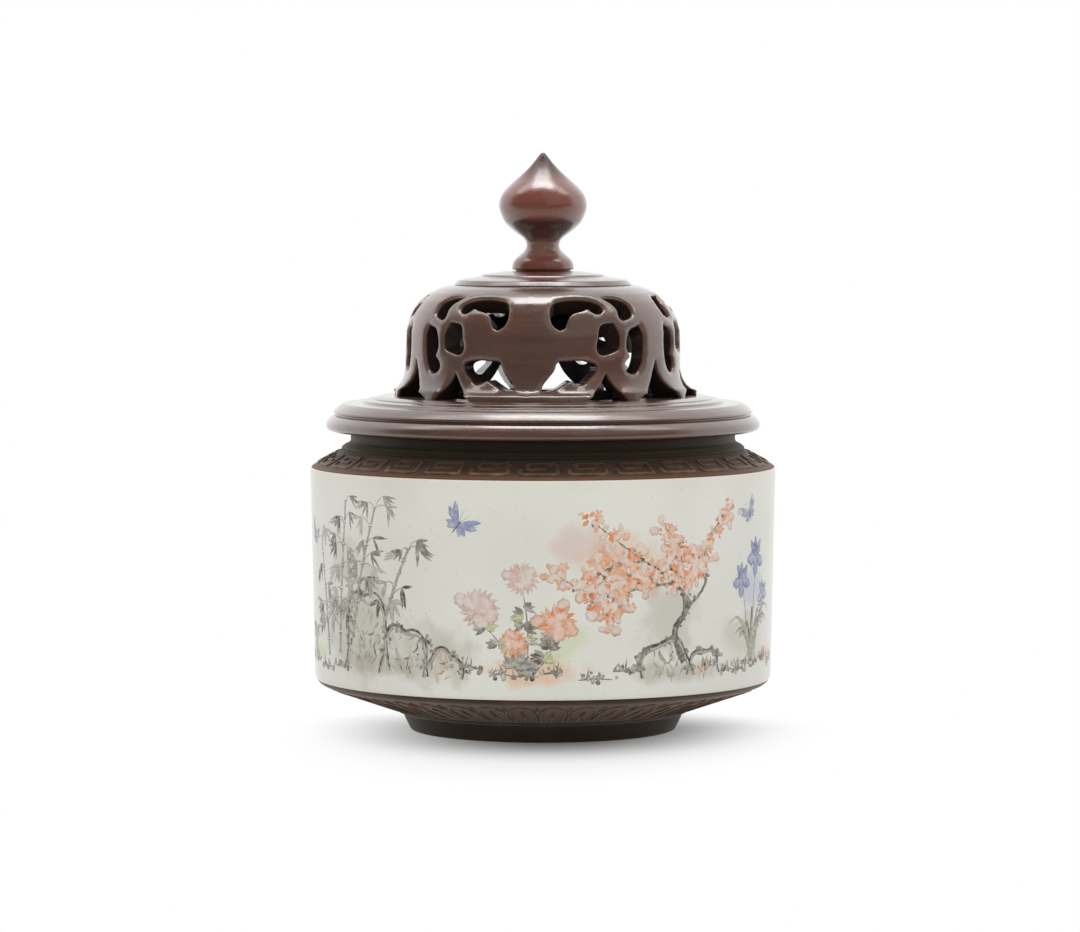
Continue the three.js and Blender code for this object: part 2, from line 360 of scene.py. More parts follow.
def brown_slip(look):
    """Dark brown slip, darkened on the neck as painted shade under the cover's flange and on the foot as
    painted shade under the lower cone, with a reddish line where it meets the white glaze.
    """
    shader = Shader("brown_slip", **SLIP_SHEEN)
    height = shader.height()
    cloud = shader.noise(0.12, 4.0)
    grain = shader.noise(1.6, 3.0)
    color = shader.mix(cloud.between(0.35, 0.75) * 0.6, look.brown, (0.085, 0.045, 0.03))
    color = shader.mix(grain.between(0.5, 0.8) * 0.35, color, (0.02, 0.01, 0.006))
    # Painted shade: the neck turns darker where the cover's flange overhangs it
    neck = height.between(SHOULDER_HEAD[1] - 1.4, SHOULDER_HEAD[1] + 0.3)
    color = shader.mix(neck, color, (0.03, 0.019, 0.011))
    cone = 1.0 - height.between(WALL_BOTTOM - 2, WALL_BOTTOM)
    color = shader.mix(cone * cloud, color, (0.12, 0.075, 0.055))
    line = height.between(WALL_TOP - 0.6, WALL_TOP - 0.1)
    line = line * (1.0 - height.between(WALL_TOP + 0.3, WALL_TOP + 0.9))
    color = shader.mix(line * 0.9, color, (0.115, 0.03, 0.006))
    # Painted shade: the foot turns darker under the overhang of the lower cone
    foot = 1.0 - height.between(3.2, 5.0)
    shader.color(shader.mix(foot * 0.7, color, (0.022, 0.017, 0.01)))
    shader.roughness(cloud * 0.2 + 0.42)
    shader.bump(grain, 0.04)
    return shader.material


def relief_slip(look):
    """The same slip on the raised lines, lighter than the ground as a painted highlight, and darker higher
    up the shoulder as painted shade under the flange.
    """
    shader = Shader("relief_slip", **SLIP_SHEEN)
    height = shader.height()
    cloud = shader.noise(0.4, 4.0)
    # Painted highlight: the raised lines take a lighter brown, varied by a cloud of noise
    color = shader.mix(cloud.between(0.3, 0.75), (0.065, 0.03, 0.015), (0.18, 0.095, 0.055))
    # Painted shade: higher up the shoulder the lines darken under the cover's flange
    upper = height.between(SHOULDER_FOOT[1] + 0.9, SHOULDER_FOOT[1] + 2.2)
    shader.color(shader.mix(upper * 0.7, color, look.brown))
    shader.roughness(cloud * 0.2 + 0.38)
    shader.bump(shader.noise(1.6, 3.0), 0.03)
    return shader.material


def enamel(look):
    """Painted strokes: each has its own colour, thinned unevenly towards the glaze."""
    shader = Shader("enamel", Specular_IOR_Level=0.5)
    thinned = shader.noise(0.9, 3.0).between(0.35, 0.8)
    shader.color(shader.mix(thinned * 0.5, shader.attribute("paint", "Color"), look.glaze))
    shader.roughness(thinned * 0.1 + 0.2)
    return shader.material


class Hardwood(Shader):
    """Dark reddish hardwood with faint streaks and pores under a glossy polish."""

    def __init__(self, name, dark):
        super().__init__(name, Specular_IOR_Level=0.5, Coat_Roughness=0.18, Coat_IOR=1.7)
        self.dark = dark
        self.streak = self.noise((0.035, 0.3, 0.3), 5.0, 0.6)
        self.fine = self.noise((0.25, 2.4, 2.4), 4.0)
        self.pores = self.noise((0.5, 5.0, 5.0), 2.0).between(0.6, 0.75)

    def polished(self, wood, recess=0.0, dull=0.0):
        """Puts the grain on a colour, darkens the recesses with painted shade, thins the polish and returns
        the material.
        """
        ruddy = self.noise(0.06, 2.0).between(0.45, 0.7)
        color = self.tint(ruddy, wood, (1.25, 0.95, 0.9))
        color = self.mix(self.streak.between(0.35, 0.75) * 0.4, color, self.dark)
        color = self.mix(self.fine.between(0.45, 0.75) * 0.25, color, self.dark)
        color = self.mix(self.pores * 0.4, color, self.dark)
        # Painted shade in the recesses: a darker brown where recess is 1
        self.color(self.mix(recess, color, (0.026, 0.014, 0.01)))
        self.roughness(self.fine * 0.1 + 0.24)
        self.feed(self.surface.inputs["Coat Weight"], 1.0 - self.pores * 0.25 - dull)
        self.bump(self.fine * 0.6 - self.pores, 0.02)
        return self.material


def finial_wood(look):
    """Redder wood of the knob, paler on its neck as a painted reflection, darker under its bulb as painted
    shade, and darker and dull on its tip.
    """
    wood = Hardwood("finial_wood", look.dark)
    height = wood.height()
    bulb, tip = FINIAL_FOOT + 12, FINIAL_TIP - 5
    pointed = height.between(tip - 3, tip + 2)
    color = wood.mix(pointed, look.knob, (0.07, 0.035, 0.02))
    # Painted shade: the wood darkens under the bulb, where the knob faces down
    under = height.between(bulb - 5.5, bulb - 3.5) * (1.0 - height.between(bulb - 0.5, bulb + 1))
    color = wood.mix(under, color, (0.06, 0.022, 0.019))
    # Painted reflection: the neck is paler where it catches the light
    neck = height.between(bulb - 9.5, bulb - 8) * (1.0 - height.between(bulb - 5.5, bulb - 3.5))
    return wood.polished(wood.mix(neck, color, (0.27, 0.13, 0.095)), dull=pointed * 0.85)


def sifted_ash():
    """Pale grey ash in fine grains."""
    shader = Shader("sifted_ash", Roughness=1.0, Specular_IOR_Level=0.1)
    grains = shader.noise(1.1, 6.0)
    shader.color(shader.mix(grains.between(0.3, 0.7), (0.42, 0.4, 0.38), (0.62, 0.6, 0.57)))
    shader.bump(grains, 0.35)
    return shader.material


def pressed_incense():
    """Brown wood powder pressed into a cone."""
    shader = Shader("pressed_incense", Roughness=0.92, Specular_IOR_Level=0.2)
    grains = shader.noise(2.2, 5.0)
    shader.color(shader.mix(grains.between(0.3, 0.7), (0.13, 0.075, 0.04), (0.26, 0.17, 0.1)))
    shader.bump(grains, 0.18)
    return shader.material


# Geometry helpers, all in millimetres

def around(radius, angle, height):
    """A point at an angle from the front, positive towards +X."""
    return (radius * math.sin(angle), -radius * math.cos(angle), height)


def partway(a, b, share):
    """The point at a share of the way from one to another."""
    return (a[0] + (b[0] - a[0]) * share, a[1] + (b[1] - a[1]) * share)


def make_piece(name, shape, materials, body, stands_for=()):
    """A smooth mesh object that rides on a body of the frame, from points in millimetres and faces."""
    points, faces = shape
    mesh = bpy.data.meshes.new(name)
    mesh.from_pydata([tuple(c * MM for c in point) for point in points], [], faces)
    mesh.update()
    mesh.shade_smooth()
    piece = bpy.data.objects.new(name, mesh)
    bpy.context.scene.collection.objects.link(piece)
    for material in materials:
        mesh.materials.append(material)
    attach(piece, body)
    if stands_for:
        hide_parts(*stands_for)
    return piece


def softened(profile, radius, steps=4, closed=False):
    """Rounds the corners of a profile and adds a support point beside each rounding."""
    count = len(profile)
    result = []
    for i, corner in enumerate(profile):
        if not closed and i in (0, count - 1):
            result.append(tuple(corner))
            continue
        here = np.array(corner, float)
        sides = [np.array(profile[k], float) - here for k in (i - 1, (i + 1) % count)]
        lengths = [np.linalg.norm(side) for side in sides]
        reach = min(radius, 0.45 * min(lengths))
        start, end = (here + side / length * reach for side, length in zip(sides, lengths))
        for k in range(steps + 1):
            t = k / steps
            result.append(tuple((1 - t) ** 2 * start + 2 * t * (1 - t) * here + t ** 2 * end))
    return supported(result, closed)


def neighbours(items, closed):
    """Each item with the next one, and the last with the first where they close."""
    return zip(items, items[1:] + items[:1] if closed else items[1:])


def supported(profile, closed, gap=0.25):
    """Adds points close to both ends of each long stretch, so that it shades flat."""
    result = []
    for a, b in neighbours(profile, closed):
        a, b = np.array(a), np.array(b)
        length = np.linalg.norm(b - a)
        result.append(tuple(a))
        if length > 4 * gap:
            result.append(tuple(a + (b - a) * gap / length))
            result.append(tuple(b - (b - a) * gap / length))
    if not closed:
        result.append(tuple(profile[-1]))
    return result


def smooth_curve(points, per_side):
    """Points of a smooth curve through the given ones."""
    points = [np.array(p, float) for p in points]
    last = len(points) - 1
    result = []
    for i in range(last):
        a, b, c, d = (points[min(max(i + k, 0), last)] for k in (-1, 0, 1, 2))
        for k in range(per_side):
            t = k / per_side
            square = 2 * a - 5 * b + 4 * c - d
            cube = 3 * b - a - 3 * c + d
            result.append(0.5 * (2 * b + (c - a) * t + square * t ** 2 + cube * t ** 3))
    return [tuple(p) for p in result + points[-1:]]


def turned(profile, sides, closed=False):
    """Points and faces of a turned solid. A profile that isn't closed starts and ends on the axis."""
    points, rows = [], []
    for radius, height in profile:
        if radius < 1e-6:
            rows.append([len(points)] * sides)
            points.append((0.0, 0.0, height))
        else:
            rows.append(list(range(len(points), len(points) + sides)))
            points += [around(radius, 2 * math.pi * k / sides, height) for k in range(sides)]
    faces = []
    for low, high in neighbours(rows, closed):
        for k in range(sides):
            n = (k + 1) % sides
            corners = (low[k], low[n], high[n], high[k])
            faces.append(tuple(dict.fromkeys(corners)))
    return points, faces


def rod_faces(first, rings, size):
    """Faces of a closed rod, from the number of its first point and its rings of points."""
    faces = []
    for i in range(first, first + (rings - 1) * size, size):
        for k in range(size):
            a, b = i + k, i + (k + 1) % size
            faces.append((a, b, b + size, a + size))
    last = first + (rings - 1) * size
    return faces + [tuple(range(first + size - 1, first - 1, -1)), tuple(range(last, last + size))]


def arc(centre, radius, start, end, steps):
    """Points of an arc in the profile plane, angles in degrees from outwards."""
    angles = [math.radians(start + (end - start) * k / steps) for k in range(steps + 1)]
    return [(centre[0] + radius * math.cos(a), centre[1] + radius * math.sin(a)) for a in angles]


# Porcelain body

def body_profile():
    """The body's outline from the middle of the foot's recess round to the middle of the bowl's floor."""
    corner = 2.9
    recess = [(0, 4.4), (26, 4.2), (27, 3.2), (27.6, 0)]
    foot = [(31.3, 0), (32.9, 3.2), (33.1, 4.2), (34.3, 4.3), (34.9, 4.75), (34.9, 5.0), (35.5, 5.2)]
    rounding = arc((WALL_LOW_RADIUS - corner, WALL_LOW_LEVEL), corner, -71, 0, 8)
    top_edge = (SHOULDER_FOOT[0] + 0.35, SHOULDER_FOOT[1] - 0.25)
    wall = [(BODY_RADIUS, WALL_TOP - 0.7), top_edge, SHOULDER_FOOT]
    groove = [SHOULDER_HEAD, (47.35, 66.1), (47.4, 66.55), (47.65, 66.75)]
    neck = [(47.0, 67.4), (45.8, 67.95), (45.4, 68.5), (45.4, RIM_LEVEL), (41.4, RIM_LEVEL)]
    inside = [(41.4, 67.2), (49.2, 61), (50.8, 58.2), (49.7, 18.5), (47.3, 14.4), (34, 9.6), (0, 9.4)]
    return softened(recess + foot, 0.45) + rounding + softened(wall + groove + neck + inside, 0.4)


def on_wall(along, height, lift):
    """A point on the white wall, by distance round it from the front, height and lift off the glaze."""
    share = (height - WALL_LOW_LEVEL) / (WALL_TOP - WALL_LOW_LEVEL)
    radius = WALL_LOW_RADIUS + (BODY_RADIUS - WALL_LOW_RADIUS) * max(share, 0) + lift
    return around(radius, along / BODY_RADIUS, height)


class BURNER_OT_body(bpy.types.Operator):
    """Builds the glazed porcelain body"""

    bl_idname = "burner.body"
    bl_label = "Porcelain body"

    def execute(self, context):
        look = context.scene.burner_porcelain
        sides = 288
        profile = body_profile()
        shape = turned(profile, sides)
        materials = [white_glaze(look), brown_slip(look), bowl_glaze(look)]
        piece = make_piece(
            "glazed_body", shape, materials, "vessel", ["porcelain_body"])
        slip, bowl = 1, 2
        inner_start = max(i for i, p in enumerate(profile) if p[1] > RIM_LEVEL - 0.01)
        for index, polygon in enumerate(piece.data.polygons):
            row = index // sides
            level = (profile[row][1] + profile[min(row + 1, len(profile) - 1)][1]) / 2
            if row >= inner_start:
                polygon.material_index = bowl
            elif not WALL_BOTTOM < level < WALL_TOP:
                polygon.material_index = slip
        return {"FINISHED"}


# Relief bands

class Relief:
    """Raised lines on a cone, gathered into one mesh."""

    def __init__(self, foot, head, height):
        self.foot = np.array(foot)
        self.head = np.array(head)
        self.height = height
        run = self.head - self.foot
        self.length = np.linalg.norm(run)
        self.slope = run / self.length
        self.outward = np.array([self.slope[1], -self.slope[0]])
        self.points = []
        self.faces = []

    def place(self, angle, climb, lift):
        radius, height = self.foot + self.slope * climb + self.outward * lift
        return around(radius, angle, height)

    def line(self, path, width, angle, middle_radius):
        """A raised line along a path of (sideways, climb) points, both in millimetres."""
        path = [np.array(p, float) for p in path]
        bevel = width * 0.22
        half, top, sunk = width / 2, self.height, -0.15
        section = [(-half, sunk), (-half, top - bevel), (-half + bevel, top),
                   (half - bevel, top), (half, top - bevel), (half, sunk)]
        first = len(self.points)
        for i, here in enumerate(path):
            ahead = path[min(i + 1, len(path) - 1)] - path[i if i + 1 < len(path) else i - 1]
            behind = here - path[i - 1] if i else ahead
            ahead, behind = ahead / np.linalg.norm(ahead), behind / np.linalg.norm(behind)
            tangent = ahead + behind
            tangent /= np.linalg.norm(tangent)
            side = np.array([-tangent[1], tangent[0]])
            mitre = 1 / max(np.dot(tangent, ahead), 0.5)
            for offset, lift in section:
                spot = here + side * offset * mitre
                self.points.append(self.place(angle + spot[0] / middle_radius, spot[1], lift))
        self.faces += rod_faces(first, len(path), len(section))

    def finish(self, name, look):
        shape = self.points, self.faces
        make_piece(name, shape, [relief_slip(look)], "vessel")


def divided(path, step):
    """The path with its long stretches split, so that it can bend round the cone."""
    result = [path[0]]
    for a, b in zip(path, path[1:]):
        pieces = max(1, math.ceil(math.dist(a, b) / step))
        result += [partway(a, b, k / pieces) for k in range(1, pieces + 1)]
    return result


class BURNER_OT_fret(bpy.types.Operator):
    """Builds the key fret round the shoulder"""

    bl_idname = "burner.fret"
    bl_label = "Shoulder fret"

    def execute(self, context):
        look = context.scene.burner_porcelain
        relief = Relief(SHOULDER_FOOT, SHOULDER_HEAD, look.relief / MM)
        middle = (SHOULDER_FOOT[0] + SHOULDER_HEAD[0]) / 2
        pitch = 2 * math.pi * middle / look.keys
        half = pitch * 0.375
        low, step = 1.6, 2.15
        key = [(-half, low + step * 0.9), (-half, low), (half, low), (half, low + 2 * step),
               (-half + step * 0.7, low + 2 * step), (-half + step * 0.7, low + step),
               (half - step * 1.1, low + step)]
        path = divided(softened(key, 0.7, 3), 1.6)
        for k in range(look.keys):
            relief.line(path, 1.0, 2 * math.pi * (k + 0.4) / look.keys, middle)
        relief.finish("shoulder_fret", look)
        return {"FINISHED"}


class BURNER_OT_petals(bpy.types.Operator):
    """Builds the band of petals on the lower cone"""

    bl_idname = "burner.petals"
    bl_label = "Petal band"

    def execute(self, context):
        look = context.scene.burner_porcelain
        relief = Relief(LOWER_CONE_FOOT, LOWER_CONE_HEAD, 0.24)
        middle = (LOWER_CONE_FOOT[0] + LOWER_CONE_HEAD[0]) / 2
        pitch = 2 * math.pi * middle / look.petals
        half = pitch * 0.42
        low, high = 0.6, relief.length - 1.6
        outline = [(-half, low), (-half, high * 0.55), (-half * 0.7, high * 0.84), (0, high),
                   (half * 0.7, high * 0.84), (half, high * 0.55), (half, low)]
        vein = [(0, low), (0, high * 0.72)]
        between = half + pitch * 0.08
        for k in range(look.petals):
            angle = 2 * math.pi * k / look.petals
            relief.line(smooth_curve(outline, 3), 0.5, angle, middle)
            relief.line(vein, 0.45, angle, middle)
            relief.line([(between, high * 0.6), (between, high * 0.98)], 0.4, angle, middle)
        relief.finish("petal_band", look)
        return {"FINISHED"}


# Painting on the wall

def ahead(spot, turn, length):
    """The point at a distance from a spot, its direction in radians from upwards towards the right."""
    return (spot[0] + math.sin(turn) * length, spot[1] + math.cos(turn) * length)


class Brush:
    """Strokes that lie on the wall, each in its own colour, gathered into one mesh."""

    def __init__(self, look, seed):
        self.look = look
        self.glaze = tuple(bpy.context.scene.burner_porcelain.glaze)
        self.hand = random.Random(seed)
        self.points = []
        self.faces = []
        self.colors = []

    def stroke(self, path, widths, color, water=0.0):
        """A stroke along (round the wall, height) points. Its widths run from its start to its end, and
        its colour is let down towards the glaze, from 0 for full strength to 1 for none."""
        path = [np.array(p, float) for p in path]
        thinned = tuple(c + (g - c) * water for c, g in zip(color, self.glaze))
        count = len(path)
        lift = self.look.lift / MM
        first = len(self.points)
        for i, here in enumerate(path):
            tangent = path[min(i + 1, count - 1)] - path[max(i - 1, 0)]
            tangent = tangent / max(np.linalg.norm(tangent), 1e-6)
            side = np.array([-tangent[1], tangent[0]])
            share = i / (count - 1) * (len(widths) - 1)
            whole = min(int(share), len(widths) - 2)
            width = widths[whole] + (widths[whole + 1] - widths[whole]) * (share - whole)
            half = max(width, 0.04) / 2
            edge = -lift * 0.15
            crown = lift + half * half / (2 * BODY_RADIUS)
            for offset, height in ((-half, edge), (0, crown), (half, edge)):
                spot = here + side * offset
                self.points.append(on_wall(spot[0], spot[1], height))
                self.colors.append(thinned)
        self.faces += rod_faces(first, count, 3)

    def line(self, points, width, color, water=0.2, tail=0.3):
        """A drawn line that swells in the middle and ends thin."""
        curve = smooth_curve(points, 4)
        self.stroke(curve, (width * tail, width, width * 0.8, width * tail), color, water)

    def leaf(self, root, angle, length, width, color, water=0.2, bend=0.0):
        """A pointed leaf from its root, its angle in degrees from upwards towards the right."""
        shares = [k / 5 for k in range(6)]
        path = [ahead(root, math.radians(angle + bend * t), length * t) for t in shares]
        self.stroke(path, (width * 0.25, width * 0.9, width, width * 0.6, 0.05), color, water)

    def dab(self, spot, size, color, water=0.2):
        """A short round touch of the brush."""
        turn = self.hand.uniform(0, 2 * math.pi)
        path = [ahead(spot, turn, size * 0.25 * k) for k in (-2, -1, 1, 2)]
        self.stroke(path, (size * 0.3, size * 1.1, size * 1.1, size * 0.3), color, water)

    def petal(self, root, angle, length, width, color, water):
        """A rounded petal or wing, widest beyond its middle."""
        path = [ahead(root, math.radians(angle), length * k / 6) for k in range(7)]
        widths = (width * 0.3, width * 0.7, width * 0.95, width, width * 0.8, width * 0.25)
        self.stroke(path, widths, color, water)

    def blossom(self, spot, size, color, water=0.2):
        """Five round petals round a dark heart, each outlined on one side."""
        start = self.hand.uniform(0, 72)
        for k in range(5):
            angle = start + 72 * k
            self.petal(spot, angle, size * 0.5, size * 0.42, color, water + self.hand.uniform(0.0, 0.3))
            self.leaf(spot, angle - 12, size * 0.5, size * 0.09, color, 0.0)
        self.dab(spot, size * 0.2, self.look.ink, 0.2)

    def cloud(self, spot, spread, count, size, tones, water):
        """Many touches of the brush round a spot, closer to each other towards its middle."""
        hand = self.hand
        for _ in range(count):
            place = (spot[0] + hand.gauss(0, spread[0]), spot[1] + hand.gauss(0, spread[1]))
            if WALL_BOTTOM + 3 < place[1] < WALL_TOP - 2.5:
                self.dab(place, size * hand.uniform(0.6, 1.3), hand.choice(tones), hand.uniform(*water))

    def finish(self, name, material):
        shape = self.points, self.faces
        piece = make_piece(name, shape, [material], "vessel")
        layer = piece.data.color_attributes.new("paint", "FLOAT_COLOR", "POINT")
        layer.data.foreach_set("color", [c for color in self.colors for c in (*color, 1.0)])


def paint_boulder(brush, u, v, width, height, tone):
    """A rounded rock: pools of thin colour, a dark contour, folds inside it and moss along its top."""
    hand, ink = brush.hand, brush.look.ink

    def spot_at(turn, share):
        wobble = 1 + 0.09 * math.sin(turn * 5 + u) + hand.uniform(-0.03, 0.03)
        reach = share * wobble
        return (u - math.cos(turn) * width / 2 * reach, v + math.sin(turn) * height * reach)

    for share, water in ((1.0, 0.0), (0.93, 0.45)):
        brush.line([spot_at(0.05 + 3.04 * k / 11, share) for k in range(12)], 1.0, ink, water, 0.5)
    for _ in range(int(width * height / 5)):
        turn = hand.uniform(0.3, 2.8)
        share = hand.uniform(0.25, 0.95)
        spot = spot_at(turn, share)
        brush.leaf(spot, 180 + (turn - 1.57) * 40 + hand.uniform(-25, 25), hand.uniform(1.5, 3.2),
                   hand.uniform(0.35, 0.9), hand.choice((ink, tone, tone)), hand.uniform(0.1, 0.6),
                   hand.uniform(-40, 40))
    for _ in range(int(width * 0.5)):
        brush.cloud(spot_at(hand.uniform(0.3, 2.9), 1), (0.9, 0.5), 7, 0.9, (ink,), (0.0, 0.4))


def paint_ground(brush, start, end, v):
    """Low broken banks of ink dabs with tufts of grass."""
    hand, ink = brush.hand, brush.look.ink
    x = start
    while x < end:
        y = v + hand.uniform(-0.8, 1.6)
        length = hand.uniform(4, 9)
        rise = y + hand.uniform(0.2, 0.9)
        brush.line([(x, y), (x + length * 0.4, rise), (x + length, y)], 0.6, ink, 0.15)
        spread = (length * 0.3, 0.6)
        brush.cloud((x + length * 0.5, y + 0.4), spread, 14, 1.0, (ink, ink, OLIVE), (0.0, 0.55))
        for _ in range(5):
            root = (x + hand.uniform(0, length), y)
            brush.leaf(root, hand.uniform(-38, 38), hand.uniform(1.6, 3.4), 0.5, ink, 0.2)
        x += length + hand.uniform(-1, 4)


def paint_grass(brush, u, v, size, count, tones):
    """A clump of long arched leaves."""
    hand = brush.hand
    for _ in range(count):
        lean = hand.uniform(-1, 1)
        reach = size * hand.uniform(0.5, 1.0)
        path = [(u + hand.uniform(-1.2, 1.2), v), (u + lean * reach * 0.25, v + reach * 0.55),
                (u + lean * reach * 0.6, v + reach * 0.85), (u + lean * reach * 0.95, v + reach * 0.72)]
        widths = (0.4, 1.1, 1.2, 0.7, 0.05)
        brush.stroke(smooth_curve(path, 5), widths, hand.choice(tones), hand.uniform(0.0, 0.45))


def paint_iris(brush, u, v, size, color):
    """A flower of three drooping and three upright petals."""
    hand = brush.hand
    for angle in (105, 180, 255):
        turn = angle + hand.uniform(-12, 12)
        brush.petal((u, v), turn, size * 0.62, size * 0.5, color, hand.uniform(0.1, 0.4))
    for angle in (-38, 0, 38):
        turn = angle + hand.uniform(-8, 8)
        brush.petal((u, v), turn, size * 0.66, size * 0.36, color, hand.uniform(0.0, 0.3))
    for angle in (-60, -20, 20, 60, 130, 180, 230):
        brush.leaf((u, v), angle, size * 0.5, size * 0.1, brush.look.ink, 0.2)
    brush.dab((u, v), size * 0.2, PEACH, 0.1)


def paint_irises(brush, u, v, size, blossoms):
    """Irises over a clump of their leaves."""
    look = brush.look
    paint_grass(brush, u, v, size, 26, (look.ink, look.ink, look.leaf))
    for shift, height, scale in blossoms:
        head = (u + shift, v + height)
        brush.line([(u + shift * 0.2, v), (u + shift * 0.6, v + height * 0.6), head], 0.45, look.ink, 0.2)
        paint_iris(brush, head[0], head[1], scale, look.blue)


def paint_branch(brush, path, width, depth, tips):
    """A gnarled branch that forks, and collects where its blossoms go."""
    hand, ink = brush.hand, brush.look.ink
    curve = smooth_curve(path, 5)
    rough = [(x + hand.uniform(-0.18, 0.18), y + hand.uniform(-0.18, 0.18)) for x, y in curve]
    widths = (width, width * 0.8, width * 0.55, width * 0.35)
    brush.stroke(rough, widths, ink, 0.05 * (3 - depth))
    for x, y in curve:
        if hand.random() < 0.6:
            knot = (x + hand.choice((-0.5, 0.5)) * width, y)
            brush.dab(knot, hand.uniform(0.5, 1.1), ink, hand.uniform(0, 0.3))
    tips.extend(curve[len(curve) // 2:: 3])
    if depth == 0:
        return
    for share in (0.35, 0.55, 0.75, 0.95):
        x, y = curve[int(share * (len(curve) - 1))]
        before = curve[max(int(share * (len(curve) - 1)) - 2, 0)]
        heading = math.atan2(x - before[0], y - before[1]) + hand.choice((-1, 1)) * hand.uniform(0.45, 1.0)
        length = math.dist(path[0], path[-1]) * hand.uniform(0.28, 0.45)
        mid = ahead((x, y), heading, length * 0.5)
        heading += hand.uniform(-0.45, 0.45)
        end = ahead(mid, heading, length * 0.5)
        if end[1] < WALL_TOP - 4:
            paint_branch(brush, [(x, y), mid, end], width * 0.55, depth - 1, tips)


def paint_blossoms(brush, tips, per_tip, spread, size, color):
    """Clouds of blossom along the branches: pale pools, deep touches and single open flowers."""
    hand = brush.hand
    for x, y in tips:
        brush.cloud((x, y), (spread, spread), per_tip, size, (PEACH, ROSE, color), (0.25, 0.7))
    for x, y in tips:
        brush.cloud((x, y), (spread * 0.8, spread * 0.8), per_tip, size * 0.62, (color,), (0.0, 0.3))
        spot = (x + hand.gauss(0, spread), y + hand.gauss(0, spread))
        if spot[1] < WALL_TOP - 4:
            brush.blossom(spot, size * 1.25, color, hand.uniform(0.0, 0.3))


def paint_bamboo(brush, u, v, height, lean, leaves):
    """A jointed stem with sprays of narrow leaves."""
    hand, ink = brush.hand, brush.look.ink
    joints = 7
    spots = [(u + lean * (k / joints) ** 1.3, v + height * k / joints) for k in range(joints + 1)]
    for a, b in zip(spots, spots[1:]):
        brush.stroke([partway(a, b, 0.12), partway(a, b, 0.5), b], (1.3, 1.0, 1.3), ink, 0.4)
        brush.stroke([(b[0] - 0.7, b[1]), (b[0] + 0.7, b[1] + 0.1)], (0.35, 0.35), ink)
    for _ in range(leaves):
        joint = spots[hand.randrange(2, joints + 1)]
        side = hand.choice((-1, 1))
        root = (joint[0] + side * hand.uniform(1.0, 4.2), joint[1] + hand.uniform(-1, 3))
        middle = partway(joint, root, 0.5)
        brush.line([joint, (middle[0], middle[1] + 0.5), root], 0.4, ink, 0.2)
        water = hand.uniform(0.0, 0.6)
        for _ in range(hand.randrange(4, 7)):
            angle = 180 - side * hand.uniform(-10, 100)
            brush.leaf(root, angle, hand.uniform(3.0, 5.2), hand.uniform(1.1, 1.6), ink, water)


def paint_chrysanthemum(brush, u, v, size, color):
    """A round flower of narrow petals round a green heart."""
    hand = brush.hand
    brush.cloud((u, v), (size * 0.22, size * 0.2), 10, size * 0.4, (color,), (0.4, 0.7))
    for ring, count in ((1.0, 19), (0.66, 14), (0.36, 8)):
        for k in range(count):
            angle = 360 / count * k + hand.uniform(-6, 6)
            turn = math.radians(angle)
            root = (u + math.sin(turn) * size * ring * 0.22, v + math.cos(turn) * size * ring * 0.2)
            brush.leaf(root, angle, size * ring * 0.42, size * 0.2, color, hand.uniform(0.0, 0.4), 12)
    brush.dab((u, v), size * 0.22, brush.look.leaf, 0.1)


def paint_leaf_spray(brush, root, tip, count):
    """A stem with lobed leaves on both sides."""
    hand, look = brush.hand, brush.look
    middle = partway(root, tip, 0.5)
    brush.line([root, (middle[0] + 0.8, middle[1]), tip], 0.5, look.ink, 0.2)
    for _ in range(count):
        spot = partway(root, tip, hand.uniform(0.05, 0.85))
        side = hand.choice((-1, 1))
        tone = hand.choice((look.ink, look.ink, look.leaf))
        turn = side * hand.uniform(55, 110)
        for lobe in (-26, 0, 26):
            length, width = hand.uniform(2.0, 3.6), hand.uniform(1.2, 1.8)
            brush.leaf(spot, turn + lobe, length, width, tone, hand.uniform(0.05, 0.5))


def paint_butterfly(brush, u, v, size, angle, color):
    """Two long upper wings and two short round ones, with dark margins, a body and feelers."""
    ink = brush.look.ink
    for side in (-1, 1):
        wings = ((46, 1.0, 0.42), (66, 0.86, 0.46), (108, 0.56, 0.4), (136, 0.5, 0.36))
        for spread, reach, breadth in wings:
            brush.petal((u, v), angle + side * spread, size * reach, size * breadth, color, 0.25)
        for spread, reach in ((38, 1.0), (58, 0.95), (80, 0.72), (122, 0.58)):
            brush.leaf((u, v), angle + side * spread, size * reach, size * 0.06, ink, 0.25)
        turn = math.radians(angle + side * 14)
        across, up = math.sin(turn) * size, math.cos(turn) * size
        feeler = [(u, v), (u + across * 0.4, v + up * 0.4), (u + across * 0.75, v + up * 0.7)]
        brush.line(feeler, 0.2, ink)
    tail = ahead((u, v), math.radians(angle), -size * 0.45)
    brush.leaf(tail, angle, size * 0.75, size * 0.16, ink, 0.0)


